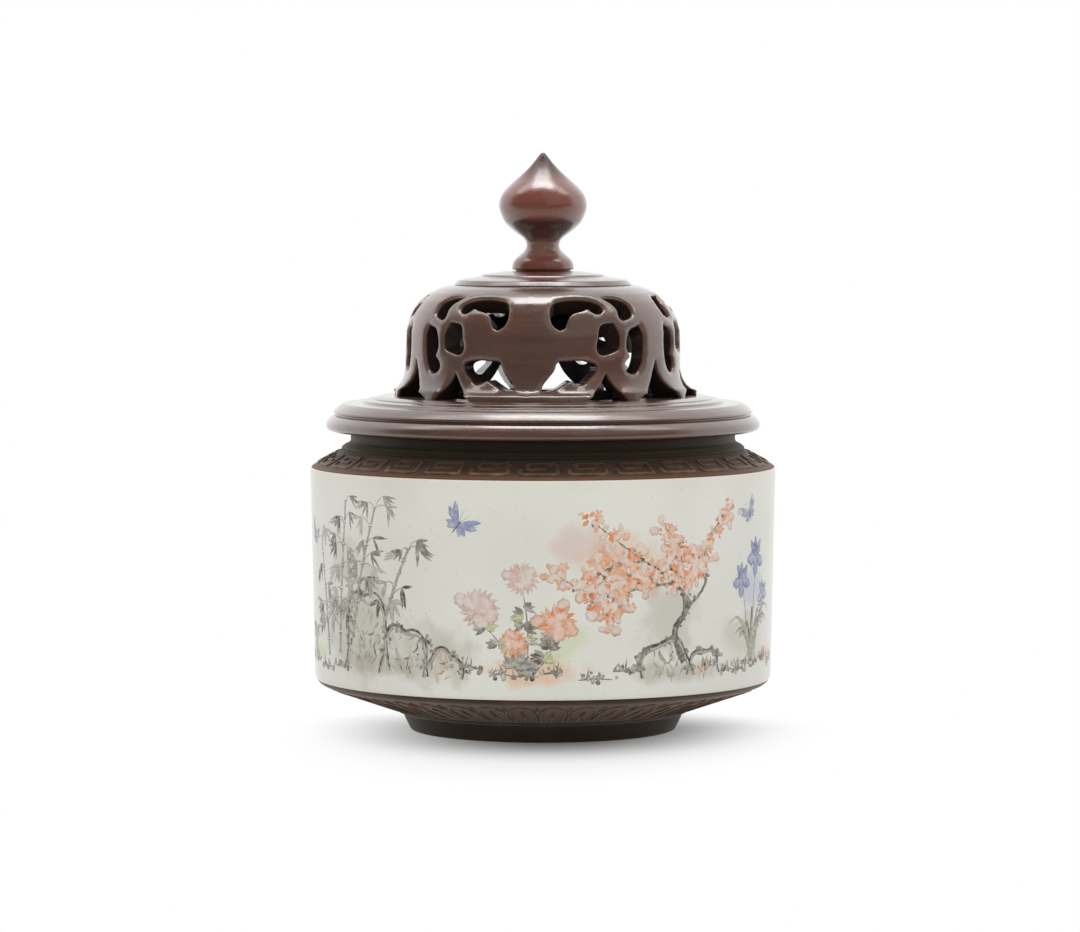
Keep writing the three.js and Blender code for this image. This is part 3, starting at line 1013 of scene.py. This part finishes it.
class BURNER_OT_painting(bpy.types.Operator):
    """Paints a garden of rocks, bamboo, blossom, chrysanthemums and irises round the wall"""

    bl_idname = "burner.painting"
    bl_label = "Painting"

    def execute(self, context):
        look = context.scene.burner_painting
        paint = enamel(context.scene.burner_porcelain)
        self.garden(look, paint)
        self.blossom(look, paint)
        self.bamboo(look, paint)
        self.flowers(look, paint)
        return {"FINISHED"}

    def garden(self, look, paint):
        brush = Brush(look, look.seed)
        for start, end in ((-78, -52), (-14, 30), (46, 84), (96, 170), (-170, -96)):
            paint_ground(brush, start, end, 17.5)
        for u, v, width, height, tone in (
            (-41, 17, 17, 19, OLIVE), (-29, 16.5, 15, 12, GREYED), (-18, 16.5, 10, 7, PEACH),
            (36, 16.5, 15, 9, OLIVE), (47, 16.8, 11, 6, PEACH), (146, 17, 16, 15, OLIVE),
            (157, 16.8, 12, 9, GREYED), (-112, 17, 14, 13, OLIVE), (-102, 16.5, 11, 7, PEACH),
        ):
            paint_boulder(brush, u, v, width, height, tone)
        brush.finish("painted_garden", paint)

    def blossom(self, look, paint):
        brush = Brush(look, look.seed + 1)
        tips = []
        paint_branch(brush, [(41, 20), (38, 27), (42, 34), (34, 41), (26, 46), (17, 53)], 2.3, 2, tips)
        paint_branch(brush, [(40, 31), (47, 38), (47, 46), (53, 54)], 1.3, 1, tips)
        paint_blossoms(brush, tips, 6, 1.5, 2.1, look.coral)
        back = []
        paint_branch(brush, [(128, 20), (132, 29), (126, 37), (133, 46), (141, 53)], 2.0, 2, back)
        paint_blossoms(brush, back, 6, 1.5, 2.1, look.coral)
        brush.finish("painted_blossom", paint)

    def bamboo(self, look, paint):
        brush = Brush(look, look.seed + 2)
        for u, v, height, lean, leaves in (
            (-52, 20, 36, 4, 18), (-46, 24, 31, 9, 16), (-58, 19, 28, -4, 12), (-35, 26, 20, 8, 8),
            (-124, 20, 36, -4, 18), (-117, 24, 28, 5, 14), (165, 22, 32, 5, 15),
        ):
            paint_bamboo(brush, u, v, height, lean, leaves)
        brush.finish("painted_bamboo", paint)

    def flowers(self, look, paint):
        brush = Brush(look, look.seed + 3)
        for u, v, size, base in ((-9, 33, 8, 0), (1, 40, 6.5, 2), (9, 30, 7.5, 4), (-1, 25, 6, 1),
                                 (112, 34, 8, 108), (104, 27, 6.5, 106), (-150, 33, 7.5, -146)):
            paint_leaf_spray(brush, (base, 18.5), (u, v - size * 0.3), 8)
            paint_chrysanthemum(brush, u, v, size, look.coral if v < 32 else ROSE)
        paint_irises(brush, 66, 18.5, 15, ((-5, 19, 6.5), (2, 24, 7.5), (7, 15, 5.5)))
        paint_irises(brush, -88, 18.5, 14, ((-4, 18, 6), (4, 22, 7)))
        paint_grass(brush, -70, 19, 9, 18, (look.ink, look.leaf))
        for u, v, size, angle in (
            (-14, 52, 5.5, 38), (64, 53, 4.6, -30), (-68, 47, 4.6, 25), (96, 50, 5, 30),
        ):
            paint_butterfly(brush, u, v, size, angle, look.blue)
        brush.finish("painted_flowers", paint)


# Bowl contents

class BURNER_OT_contents(bpy.types.Operator):
    """Builds the ash bed and the incense cone"""

    bl_idname = "burner.contents"
    bl_label = "Ash and incense"

    def execute(self, context):
        edge = ASH_RADIUS - 0.2
        rim = ASH_TOP - 3
        mound = ASH_TOP - rim - 0.4
        profile = [(0, ASH_FOOT), (34, ASH_FOOT + 0.3), (edge - 2.6, 14.7), (edge, 18.8), (edge, rim)]
        profile += [(edge - 0.8, rim + 0.35)]
        profile += [(r, rim + 0.35 + mound * math.cos(math.pi / 2 * r / edge)) for r in range(46, 7, -2)]
        profile += [(CONE_RADIUS + 1, ASH_TOP - 0.03), (0, ASH_TOP - 0.03)]
        make_piece("ash", turned(profile, 144), [sifted_ash()], "vessel", ["ash_bed"])
        side = [(CONE_RADIUS, CONE_FOOT + 0.5), (0.75, CONE_TIP - 0.7), (0, CONE_TIP)]
        cone = [(0, CONE_FOOT), (CONE_RADIUS - 0.2, CONE_FOOT)] + softened(side, 0.5)
        shape = turned(cone, 64)
        make_piece("cone_of_incense", shape, [pressed_incense()], "incense", ["incense_cone"])
        return {"FINISHED"}


# Turned parts of the cover

def flange_profile():
    """The flange's outline, once round: spigot, both lips, turned top, dome's groove and bore."""
    seat = FLANGE_SEAT
    lower_lip = [(50.1, seat), *arc((FLANGE_RADIUS - 1.1, seat + 1.15), 1.1, -60, 0, 6),
                 (FLANGE_RADIUS - 0.02, seat + 1.75), (51, seat + 2.25), (50.4, seat + 2.95),
                 (49.75, seat + 3.5)]
    groove = [(49.3, seat + 3.65), (48.9, seat + 3.75), (48.9, seat + 4.05), (49.35, seat + 4.15)]
    upper_lip = [(49.5, seat + 4.35), (49.4, seat + 4.65), (48.35, seat + 5.6), (47.2, seat + 6.42),
                 (46.3, seat + 6.5)]
    step = [(43.5, 77.35), (42.9, 77.4), (42.6, 77.9)]
    line = [(40.85, 78.3), (40.6, 78.1), (40.3, 78.15), (40.1, 78.5)]
    seat_of_dome = [(38, FLANGE_TOP), (33.7, FLANGE_TOP), (33.7, 77.3), (30.7, 77.3), (30.7, FLANGE_TOP)]
    bore = [(28.4, FLANGE_TOP), (28.4, seat + 1.8), (36.8, seat - 0.4)]
    spigot = [(36.8, SPIGOT_LEVEL), (41, SPIGOT_LEVEL), (41, seat)]
    return spigot + lower_lip + groove + upper_lip + step + line + seat_of_dome + bore


class BURNER_OT_flange(bpy.types.Operator):
    """Builds the turned flange of the cover"""

    bl_idname = "burner.flange"
    bl_label = "Cover flange"

    def execute(self, context):
        look = context.scene.burner_cover
        shape = turned(softened(flange_profile(), 0.3, 3, closed=True), 240, closed=True)
        wood = Hardwood("flange_wood", look.dark).polished(look.wood)
        make_piece("turned_flange", shape, [wood], "cover", ["cover_flange"])
        return {"FINISHED"}


class BURNER_OT_crown(bpy.types.Operator):
    """Builds the cap on the dome and the finial"""

    bl_idname = "burner.crown"
    bl_label = "Cap and finial"

    def execute(self, context):
        look = context.scene.burner_cover
        hole = 3.6
        lip = [(CAP_RADIUS - 0.1, DISC_FOOT), (CAP_RADIUS, DISC_FOOT + 0.2),
               (CAP_RADIUS - 1.05, CAP_FOOT + 1.05)]
        rise = [(18, 106.6), (14.7, 107.05), (14.3, 107.5), (9.5, CAP_TOP - 0.1), (8.4, CAP_TOP)]
        cap = [(hole, DISC_FOOT), *lip, *rise, (hole, CAP_TOP)]
        shape = turned(softened(cap, 0.25, 3, closed=True), 192, closed=True)
        wood = Hardwood("cap_wood", look.dark).polished(look.wood)
        make_piece("crown_disc", shape, [wood], "cover", ["dome_cap"])
        tenon = 3.3
        groove = [(6.5, FINIAL_FOOT), (6.5, FINIAL_FOOT + 0.3), (7.2, FINIAL_FOOT + 0.4)]
        peg = [(0, TENON_LEVEL), (tenon, TENON_LEVEL), (tenon, FINIAL_FOOT)]
        base = (7.3, FINIAL_FOOT + 0.8)
        foot = softened([*peg, *groove, base], 0.15, 3)
        onion = smooth_curve(
            [base, (7.05, 110.3), (6.35, 111.3), (5.2, 112.3), (4.25, 113.2), (3.85, 114.2),
             (3.95, 115.1), (4.5, 116), (5.8, 117), (7, 117.9), (8.1, 118.9), (9, 119.9), (9.8, 121.5),
             (10.25, 122.9), (FINIAL_RADIUS, 124), (10.15, 125.2), (9.6, 126.5), (8.1, 128.3), (5.9, 130.2),
             (3.8, 132.1), (2.1, 134), (1.1, 135.3), (0.45, FINIAL_TIP - 0.15)], 3)
        shape = turned(foot + onion[1:] + [(0, FINIAL_TIP)], 144)
        make_piece("onion_finial", shape, [finial_wood(look)], "cover", ["finial"])
        return {"FINISHED"}


# Pierced dome

DOME_RADIUS = 32.4
# Stations of the dome's wall from its foot to its crown: outer radius and height, inner radius and height
DOME_STATIONS = [
    (DOME_FLARE, DOME_FOOT, 28.2, DOME_FOOT), (DOME_FLARE, 80.1, 28.2, 80.1), (35.8, 80.4, 28.2, 80.3),
    (35.1, 80.6, 28.2, 80.5), (33.9, 81.6, 28.2, 81.6), (33, 83.2, 28.2, 83.3), (32.5, 85.2, 28.2, 85.3),
    (DOME_RADIUS, 90, 28.2, 90), (32.3, 94.4, 28, 92.8), (31.6, 97, 27.5, 95), (30.5, 99.3, 26.6, 96.8),
    (28.9, 101.4, 25.4, 98.2), (26.6, 103.2, 24, 99.4), (24, 104.4, 22.3, 100.3),
    (21.5, DOME_TOP, 20.4, 100.8), (12, DOME_TOP, 12, 100.8), (3.6, DOME_TOP, 3.6, 100.8),
]
DOME_SHOULDER = 15
# Openings of a sixth of the dome: degrees from the middle of a motif, and height
DOME_OPENINGS = [
    [(13.2, 95.4), (10.4, 96.4), (9.2, 98.1), (9.2, 100.2), (10.8, 101.7), (14.4, 102.3), (20, 102.6),
     (26, 102.5), (31, 102), (33.8, 101), (33.5, 99.8), (31, 99.1), (28.3, 99.5), (26.4, 100.4),
     (24.4, 100), (20.6, 99.5), (17.9, 98.8), (16.7, 97.6), (15.5, 96)],
    [(35.6, 102.7), (39.5, 102.9), (44.4, 102.7), (48.4, 101.8), (49.5, 100.3), (48.4, 98.7), (45.1, 97.9),
     (42, 97.6), (40.8, 98.5), (41.1, 99.8), (40.2, 100.9), (38.2, 101.8)],
    [(37.5, 97.1), (39.3, 95.4), (40.1, 93), (39.5, 91), (36.4, 90.1), (32.3, 89.5), (29.8, 89.9),
     (28.8, 91.3), (29.4, 93.2), (30, 95.3), (31.4, 96.6), (34.6, 97)],
    [(50.9, 96.5), (52.5, 95.1), (53, 91.4), (52.1, 88), (49.8, 85.8), (46.5, 85), (43.3, 85.6),
     (41.9, 86.7), (43, 88.1), (45, 89), (44.1, 90), (43.1, 91.4), (43.7, 94), (45.7, 95.5),
     (48.8, 96)],
    [(5.2, 81.3), (6.1, 82.8), (8.4, 84.4), (10.8, 86.1), (12, 87.9), (16, 88.1), (21, 88.3),
     (26, 87.9), (28.7, 87.1), (28, 85.5), (25.2, 84.1), (22.8, 82.9), (20, 82.9), (17.4, 83.7),
     (14.2, 82.8), (10.4, 81.7), (6.8, 81.2)],
]
# Gaps between the leaves, open at the foot: each side as a curve, the one in the middle of a rib as a half
DOME_GAPS = [
    [(22.4, DOME_FOOT), (26.9, 81.2), (30.1, 83), (32.7, 85.1)],
    [(32.7, 85.1), (34.9, 82.9), (37.3, 81.2), (40.6, DOME_FOOT)],
    [(46.2, DOME_FOOT), (51.7, 81.2), (55.5, 83.1), (58.1, 85.3), (60, 87.9)],
]
DOME_MOTIFS = 3
MOTIF_HALF = 180 / DOME_MOTIFS
# The narrow leaf points between two gaps flare less than the middle of a motif
NARROW_POINTS = (36, 50)
NARROW_FLARE = 34.9
# The eye beside each motif narrows towards its inner side
EYE, EYE_TAPER = 2, 0.5
# How far the throat line lies behind the rounded edge of an opening; from there inwards the painted shade
# of the cut sides is full
THROAT_DEPTH = 0.3


def distance_to_outline(spots, outline):
    """Shortest distance from each spot to a closed outline, in the unrolled plane."""
    best = np.full(len(spots), np.inf)
    for a, b in zip(outline, np.roll(outline, -1, axis=0)):
        run = b - a
        length = max(np.dot(run, run), 1e-12)
        t = np.clip(((spots - a) @ run) / length, 0, 1)
        best = np.minimum(best, np.linalg.norm(spots - (a + t[:, None] * run), axis=1))
    return best


def inside_outline(spots, outline):
    """Whether each spot lies inside a closed outline."""
    inside = np.zeros(len(spots), bool)
    for (x1, y1), (x2, y2) in zip(outline, np.roll(outline, -1, axis=0)):
        crosses = (y1 > spots[:, 1]) != (y2 > spots[:, 1])
        edge = (x2 - x1) * (spots[:, 1] - y1) / (y2 - y1 if y2 != y1 else 1e-9) + x1
        inside ^= crosses & (spots[:, 0] < edge)
    return inside


def evenly(curve, step):
    """The curve's ends and points between them at about the same distance, its corners eased a little."""
    curve = np.array(curve)
    lengths = np.concatenate([[0], np.cumsum(np.linalg.norm(np.diff(curve, axis=0), axis=1))])
    count = max(2, int(round(lengths[-1] / step)))
    marks = np.linspace(0, lengths[-1], count + 1)
    points = np.column_stack([np.interp(marks, lengths, curve[:, k]) for k in (0, 1)])
    for _ in range(2):
        points[1:-1] = points[:-2] / 4 + points[1:-1] / 2 + points[2:] / 4
    return points


class DomeSheet:
    """Half a motif of the dome's wall, unrolled and triangulated with rings round its openings."""

    # Spacing along the outlines, along the foot and, as a count, along the crown
    step, foot_step, crown_count = 0.36, 0.25, 12
    # Distances of the rings from an outline, as shares of the eased edge
    ring_shares = (0.12, 0.34, 0.66, 1.0)
    # Side of the squares that near points are looked up in
    cell = 0.5

    def __init__(self, edge, spacing):
        self.edge = edge
        self.stations = np.array(DOME_STATIONS)
        runs = np.linalg.norm(np.diff(self.stations[:, :2], axis=0), axis=1)
        self.knots = np.concatenate([[0], np.cumsum(runs)])
        self.scale = math.radians(1) * DOME_RADIUS
        self.width = MOTIF_HALF * self.scale
        self.curves = [evenly(self.flat(smooth_curve(c + c[:1], 6)), self.step) for c in DOME_OPENINGS]
        self.holes = [curve[:-1] for curve in self.curves]
        sides = [evenly(self.flat(smooth_curve(side, 6)), self.step) for side in DOME_GAPS]
        self.curves += sides
        self.holes += [self.opened(sides[0], sides[1]), self.opened(sides[2], self.mirrored(sides[2]))]
        self.triangulate(spacing)

    def flat(self, outline):
        """Turns (degrees, height) points into the unrolled plane."""
        heights = self.stations[:DOME_SHOULDER, 1]
        levels = self.knots[:DOME_SHOULDER]
        return [(degrees * self.scale, np.interp(height, heights, levels)) for degrees, height in outline]

    def mirrored(self, curve):
        """The other side of a gap that lies on the middle line of a rib."""
        return np.column_stack([2 * self.width - curve[::-1, 0], curve[::-1, 1]])

    def opened(self, rising, falling):
        """A gap's closed outline, carried on below the foot."""
        below = np.array([(falling[-1][0], -3.0), (rising[0][0], -3.0)])
        return np.concatenate([rising, falling[1:], below])

    def distances(self, spots):
        """Distance to the nearest opening, negative inside one."""
        best = np.full(len(spots), 50.0)
        for hole in self.holes:
            near = distance_to_outline(spots, hole)
            best = np.minimum(best, np.where(inside_outline(spots, hole), -near, near))
        return best

    def rings(self):
        """Points beside the openings, closer to each other where the edge is rounded most."""
        found = []
        for curve in self.curves:
            run = np.gradient(curve, axis=0)
            side = np.column_stack([run[:, 1], -run[:, 0]]) / np.linalg.norm(run, axis=1)[:, None]
            for share in self.ring_shares:
                for way in (-1, 1):
                    spots = curve + side * share * self.edge * way
                    clear = self.distances(spots) > share * self.edge * 0.94
                    found += [(spot, share) for spot in spots[clear]]
        return found

    def filling(self, spacing):
        """Points between the openings, in staggered rows, and along the sheet's sides."""
        top = self.knots[-1]
        rows = int(round(top / spacing))
        found = []
        for row in range(1, rows):
            level = top * row / rows
            columns = int(round(self.width / spacing))
            for column in range(1, columns):
                found.append((self.width * (column + 0.25 * (-1) ** row) / columns, level))
        found = np.array(found)
        found = list(found[self.distances(found) > self.edge + spacing * 0.4])
        levels = np.linspace(0, top, int(top / self.step))
        found += [np.array((side, level)) for level in levels for side in (0.0, self.width)]
        for level, count in ((0.0, int(self.width / self.foot_step)), (top, self.crown_count)):
            found += [np.array((place, level)) for place in np.linspace(0, self.width, count)]
        return found

    def triangulate(self, spacing):
        spots, edges, cells = [], [], {}
        margin, top = 0.08, self.knots[-1]

        def add(spot, gap):
            cell = (int(spot[0] // self.cell), int(spot[1] // self.cell))
            for i in (-1, 0, 1):
                for k in (-1, 0, 1):
                    for index in cells.get((cell[0] + i, cell[1] + k), ()):
                        if math.dist(spots[index], spot) < gap:
                            return index
            cells.setdefault(cell, []).append(len(spots))
            spots.append((float(spot[0]), float(spot[1])))
            return len(spots) - 1

        for curve in self.curves:
            ids = [add(spot, 1e-4) for spot in curve]
            edges += [(a, b) for a, b in zip(ids, ids[1:]) if a != b]
        for spot, share in self.rings():
            if margin < spot[0] < self.width - margin and margin < spot[1] < top:
                add(spot, max(share * self.edge * 0.35, 0.05))
        for spot in self.filling(spacing):
            on_side = min(spot[0], self.width - spot[0], spot[1], top - spot[1]) < 1e-6
            add(spot, 0.02 if on_side else 0.3)
        result = delaunay_2d_cdt([Vector(spot) for spot in spots], edges, [], 0, 1e-6, False)
        self.spots = np.array([tuple(spot) for spot in result[0]])
        middles = np.array([np.mean([self.spots[i] for i in face], axis=0) for face in result[2]])
        depth = self.distances(middles)
        self.faces = [face for face, d in zip(result[2], depth) if d > 0]
        self.distance = np.maximum(self.distances(self.spots), 0)
        self.inner = self.spots.copy()
        eye = self.holes[EYE]
        rim = distance_to_outline(self.spots, eye) < 0.01
        middle = eye.mean(axis=0)
        self.inner[rim] = middle + (self.spots[rim] - middle) * EYE_TAPER


class DomeMesh:
    """The pierced wall of the dome: the sheet mirrored and repeated round the axis, and thickened."""

    def __init__(self, sheet):
        self.sheet = sheet
        self.known = {}
        self.spots = []
        self.sheet_faces = []
        for motif in range(DOME_MOTIFS):
            for side in (1, -1):
                for face in sheet.faces:
                    corners = [self.corner(motif, side, index) for index in face]
                    self.sheet_faces.append(corners[::side])
        self.thicken()

    def corner(self, motif, side, index):
        """The number of a sheet point's copy. Copies on a side of the sheet are shared."""
        place, level = self.sheet.spots[index]
        degrees = (motif * 2 * MOTIF_HALF + side * place / self.sheet.scale) % 360
        key = (round(degrees, 3) % 360, round(level, 4))
        if key not in self.known:
            self.known[key] = len(self.spots)
            inner_place, inner_level = self.sheet.inner[index]
            turn = side * (inner_place - place) / self.sheet.scale
            self.spots.append((degrees, level, self.sheet.distance[index], degrees + turn, inner_level))
        return self.known[key]

    def stations_at(self, level):
        """Outer radius and height, inner radius and height of the wall at a level of the sheet."""
        return [np.interp(level, self.sheet.knots, self.sheet.stations[:, k]) for k in range(4)]

    def wall(self, degrees, level, distance, inner_degrees, inner_level):
        """Outer, throat and inner point of the wall, its outer edge rounded towards the openings."""
        outer_r, outer_z, inner_r, inner_z = self.stations_at(level)
        from_middle = abs((degrees + MOTIF_HALF) % (2 * MOTIF_HALF) - MOTIF_HALF)
        if NARROW_POINTS[0] < from_middle < NARROW_POINTS[1]:
            outer_r = min(outer_r, NARROW_FLARE)
        edge = self.sheet.edge
        near = min(distance, edge) / edge
        inset = edge * (1 - math.sqrt(max(1 - (1 - near) ** 2, 0)))
        depth = math.hypot(outer_r - inner_r, outer_z - inner_z)
        points = []
        for share in (inset / depth, (inset + THROAT_DEPTH) / depth):
            radius = outer_r + (inner_r - outer_r) * share
            points.append(around(radius, math.radians(degrees), outer_z + (inner_z - outer_z) * share))
        inner_r, inner_z = self.stations_at(inner_level)[2:]
        return points + [around(inner_r, math.radians(inner_degrees), inner_z)]

    def thicken(self):
        """Adds the inner face, and the cut sides with a throat line close to their outer edge."""
        walls = [self.wall(*spot) for spot in self.spots]
        count = len(walls)
        outer = [wall[0] for wall in walls]
        inner = [wall[2] for wall in walls]
        faces = [tuple(face) for face in self.sheet_faces]
        faces += [tuple(i + count for i in reversed(face)) for face in self.sheet_faces]
        edges = {(a, b) for face in self.sheet_faces for a, b in zip(face, face[1:] + face[:1])}
        rim = [(a, b) for a, b in edges if (b, a) not in edges]
        throat = {}
        for a, b in rim:
            for spot in (a, b):
                throat.setdefault(spot, 2 * count + len(throat))
            faces.append((b, a, throat[a], throat[b]))
            faces.append((throat[b], throat[a], a + count, b + count))
        self.points = outer + inner + [walls[spot][1] for spot in throat]
        # Painted shade: 0 on the outer face, 1 from the throat line inwards and on the inner face
        self.recess = [0.0] * count + [1.0] * (count + len(throat))
        # Paler rims round the openings: partly wear, partly a painted highlight on the eased edges
        near = [max(0.0, 1.0 - spot[2] / (self.sheet.edge * 1.6)) for spot in self.spots]
        self.rim_wear_and_highlight = near + [0.0] * (count + len(throat))
        self.faces = faces


class BURNER_OT_dome(bpy.types.Operator):
    """Builds the pierced and carved dome"""

    bl_idname = "burner.dome"
    bl_label = "Pierced dome"

    def execute(self, context):
        look = context.scene.burner_cover
        dome = DomeMesh(DomeSheet(look.edge / MM, look.grid / MM))
        inner, outer, top = 31, 33.4, DOME_FOOT + JOINT_DEPTH
        tongue = [(inner, TONGUE_LEVEL), (outer, TONGUE_LEVEL), (outer, top), (inner, top)]
        ring_points, ring_faces = turned(tongue, 144, closed=True)
        start = len(dome.points)
        points = dome.points + ring_points
        faces = dome.faces + [tuple(i + start for i in face) for face in ring_faces]
        wood = Hardwood("dome_wood", look.dark)
        # Paler rims round the openings: partly wear, partly a painted highlight
        rim_wear_and_highlight = Value(wood, wood.attribute("rim_wear_and_highlight"))
        # Painted shade in the openings and on the inner face, through the recess attribute
        finish = wood.polished(wood.mix(rim_wear_and_highlight * 0.5, look.wood, look.rim_wear_and_highlight), wood.attribute("recess"))
        shape = points, faces
        piece = make_piece("openwork_dome", shape, [finish], "cover", ["pierced_dome"])
        piece.data.set_sharp_from_angle(angle=math.radians(55))
        for name, values in (("recess", dome.recess), ("rim_wear_and_highlight", dome.rim_wear_and_highlight)):
            layer = piece.data.attributes.new(name, "FLOAT", "POINT")
            layer.data.foreach_set("value", values + [0.0] * len(ring_points))
        return {"FINISHED"}


# Stage

# Brightness of the room behind the camera as the object's gloss shows it, where 1 is white
REFLECTED_FRONT = 0.1
# How far the body's soft shadow reaches on the floor, in millimetres; its falloff to white is painted by
# distance from the body
SHADOW_FRONT, SHADOW_BACK, SHADOW_SIDE, SHADOW_SHIFT = 114, 45, 63, 4


def add_light(name, place, size, power, target, gloss_only=False):
    """A rectangular lamp. One for gloss only is seen in reflections and lights nothing."""
    lamp = bpy.data.lights.new(name, "AREA")
    lamp.shape = "RECTANGLE"
    lamp.size, lamp.size_y = size
    lamp.energy = power
    light = bpy.data.objects.new(name, lamp)
    light.location = place
    light.rotation_euler = (Vector(target) - Vector(place)).to_track_quat("-Z", "Y").to_euler()
    light.visible_diffuse = not gloss_only
    bpy.context.scene.collection.objects.link(light)


def floor_material(front):
    """Pale floor that turns to the white of the background just outside the soft shadow of the body. The
    rendered shadow gives way to white by distance from the body, so its soft edge is partly painted.
    """
    shader = Shader("pale_floor", Roughness=1.0, Specular_IOR_Level=0.0)
    x, y = shader.split(shader.place)[:2]
    seen_directly, glossy, transmitted = shader.rays()
    lengthways = shader.math("MAXIMUM", -y / SHADOW_FRONT, y / SHADOW_BACK)
    sideways = (x - SHADOW_SHIFT) / SHADOW_SIDE
    # Painted shadow falloff: the lit floor gives way to white with distance from the body, reaching farther
    # in front
    clear = ((sideways * sideways + lengthways * lengthways) ** 0.5).between(0.14, 1.05)
    shader.color((0.8, 0.8, 0.8))

    def glow(strength):
        return shader.node("ShaderNodeEmission", None, {"Strength": strength}).outputs[0]

    def blend(share, first, second):
        return shader.node("ShaderNodeMixShader", None, {0: share, 1: first, 2: second}).outputs[0]

    white = glow(1.0)
    seen = blend(clear * seen_directly, shader.surface.outputs[0], white)
    # Painted shade in reflections: the floor shows dim near the body and in front of it, white behind
    reflected = blend(clear * y.between(-400, 60), glow(front), white)
    output = shader.tree.nodes["Material Output"]
    shader.feed(output.inputs["Surface"], blend(glossy + transmitted, seen, reflected))
    return shader.material


def white_world(front):
    """A white surround that lights mostly from the front. Gloss shows it dark there and white elsewhere."""
    world = bpy.data.worlds.new("white_surround")
    nodes = Nodes(world)
    lengthways = nodes.split(nodes.node("ShaderNodeTexCoord").outputs["Generated"])[1]
    seen_directly, glossy, transmitted = nodes.rays()

    def blend(share, first, second):
        return first + share * (second - first)

    daylight = 0.72 - lengthways * 0.3
    reflected = blend(lengthways.between(-0.25, 0.2), front, 1.1)
    light = blend(transmitted, blend(glossy, daylight, reflected), 1.0)
    background = nodes.tree.nodes["Background"]
    nodes.feed(background.inputs["Color"], (1.0, 1.0, 1.0))
    nodes.feed(background.inputs["Strength"], blend(seen_directly, light, 1.0))
    bpy.context.scene.world = world


class BURNER_OT_stage(bpy.types.Operator):
    """Sets up the floor, the soft light and the camera at the photograph's angle"""

    bl_idname = "burner.stage"
    bl_label = "Stage"

    def execute(self, context):
        stage = context.scene.burner_stage
        self.add_floor(REFLECTED_FRONT)
        self.add_camera(stage)
        white_world(REFLECTED_FRONT)
        middle = (0, 0, 0.07)
        add_light("overhead_softbox", (0.0, 0.05, 0.8), (0.4, 0.2), 1.4, middle)
        add_light("overhead_strip", (0.0, 0.08, 0.82), (1.3, 0.24), 1.7, middle, gloss_only=True)
        add_light("right_window", (0.85, -0.8, 0.9), (1.5, 1.5), 1.6, middle)
        context.scene.view_settings.view_transform = "Standard"
        return {"FINISHED"}

    def add_floor(self, front):
        half = 6.0
        mesh = bpy.data.meshes.new("floor")
        corners = [(-half, -half, 0), (half, -half, 0), (half, half, 0), (-half, half, 0)]
        mesh.from_pydata(corners, [], [(0, 1, 2, 3)])
        mesh.materials.append(floor_material(front))
        floor = bpy.data.objects.new("floor", mesh)
        bpy.context.scene.collection.objects.link(floor)

    def add_camera(self, stage):
        """Aims a little left of the axis and below the camera's height, as the photograph does."""
        sideways = 0.0007
        aim_height = 0.0622
        focal_pixels, frame_pixels, sensor = 4911, 1080, 36
        forward = Vector((-math.sin(stage.azimuth), math.cos(stage.azimuth), 0))
        right = Vector((math.cos(stage.azimuth), math.sin(stage.azimuth), 0))
        lens = bpy.data.cameras.new("camera")
        lens.sensor_width = sensor
        lens.lens = sensor * focal_pixels / frame_pixels
        camera = bpy.data.objects.new("camera", lens)
        camera.location = -forward * stage.distance + Vector((0, 0, stage.height))
        target = -right * sideways + Vector((0, 0, aim_height))
        camera.rotation_euler = (target - camera.location).to_track_quat("-Z", "Y").to_euler()
        bpy.context.scene.collection.objects.link(camera)
        bpy.context.scene.camera = camera


# Panel and registration

STEPS = ("body", "fret", "petals", "painting", "contents", "flange", "dome", "crown", "stage")


class BURNER_PT_panel(bpy.types.Panel):
    """Lists the pieces of the burner"""

    bl_idname = "BURNER_PT_panel"
    bl_label = "Incense Burner"
    bl_space_type = "VIEW_3D"
    bl_region_type = "UI"
    bl_category = "Burner"

    def draw(self, context):
        for step in STEPS:
            self.layout.operator(f"burner.{step}")
        for name in SETTINGS:
            box = self.layout.box()
            group = getattr(context.scene, name)
            for key in group.__annotations__:
                box.prop(group, key)


SETTINGS = {
    "burner_porcelain": BurnerPorcelainSettings,
    "burner_painting": BurnerPaintingSettings,
    "burner_cover": BurnerCoverSettings,
    "burner_stage": BurnerStageSettings,
}
CLASSES = (
    *SETTINGS.values(), BURNER_OT_body, BURNER_OT_fret, BURNER_OT_petals, BURNER_OT_painting,
    BURNER_OT_contents, BURNER_OT_flange, BURNER_OT_dome, BURNER_OT_crown, BURNER_OT_stage, BURNER_PT_panel,
)


def register():
    for item in CLASSES:
        bpy.utils.register_class(item)
    for name, group in SETTINGS.items():
        setattr(bpy.types.Scene, name, bpy.props.PointerProperty(type=group))


def unregister():
    for name in SETTINGS:
        delattr(bpy.types.Scene, name)
    for item in reversed(CLASSES):
        bpy.utils.unregister_class(item)


def main():
    register()
    for step in STEPS:
        getattr(bpy.ops.burner, step)()


if __name__ == "__main__":
    main()
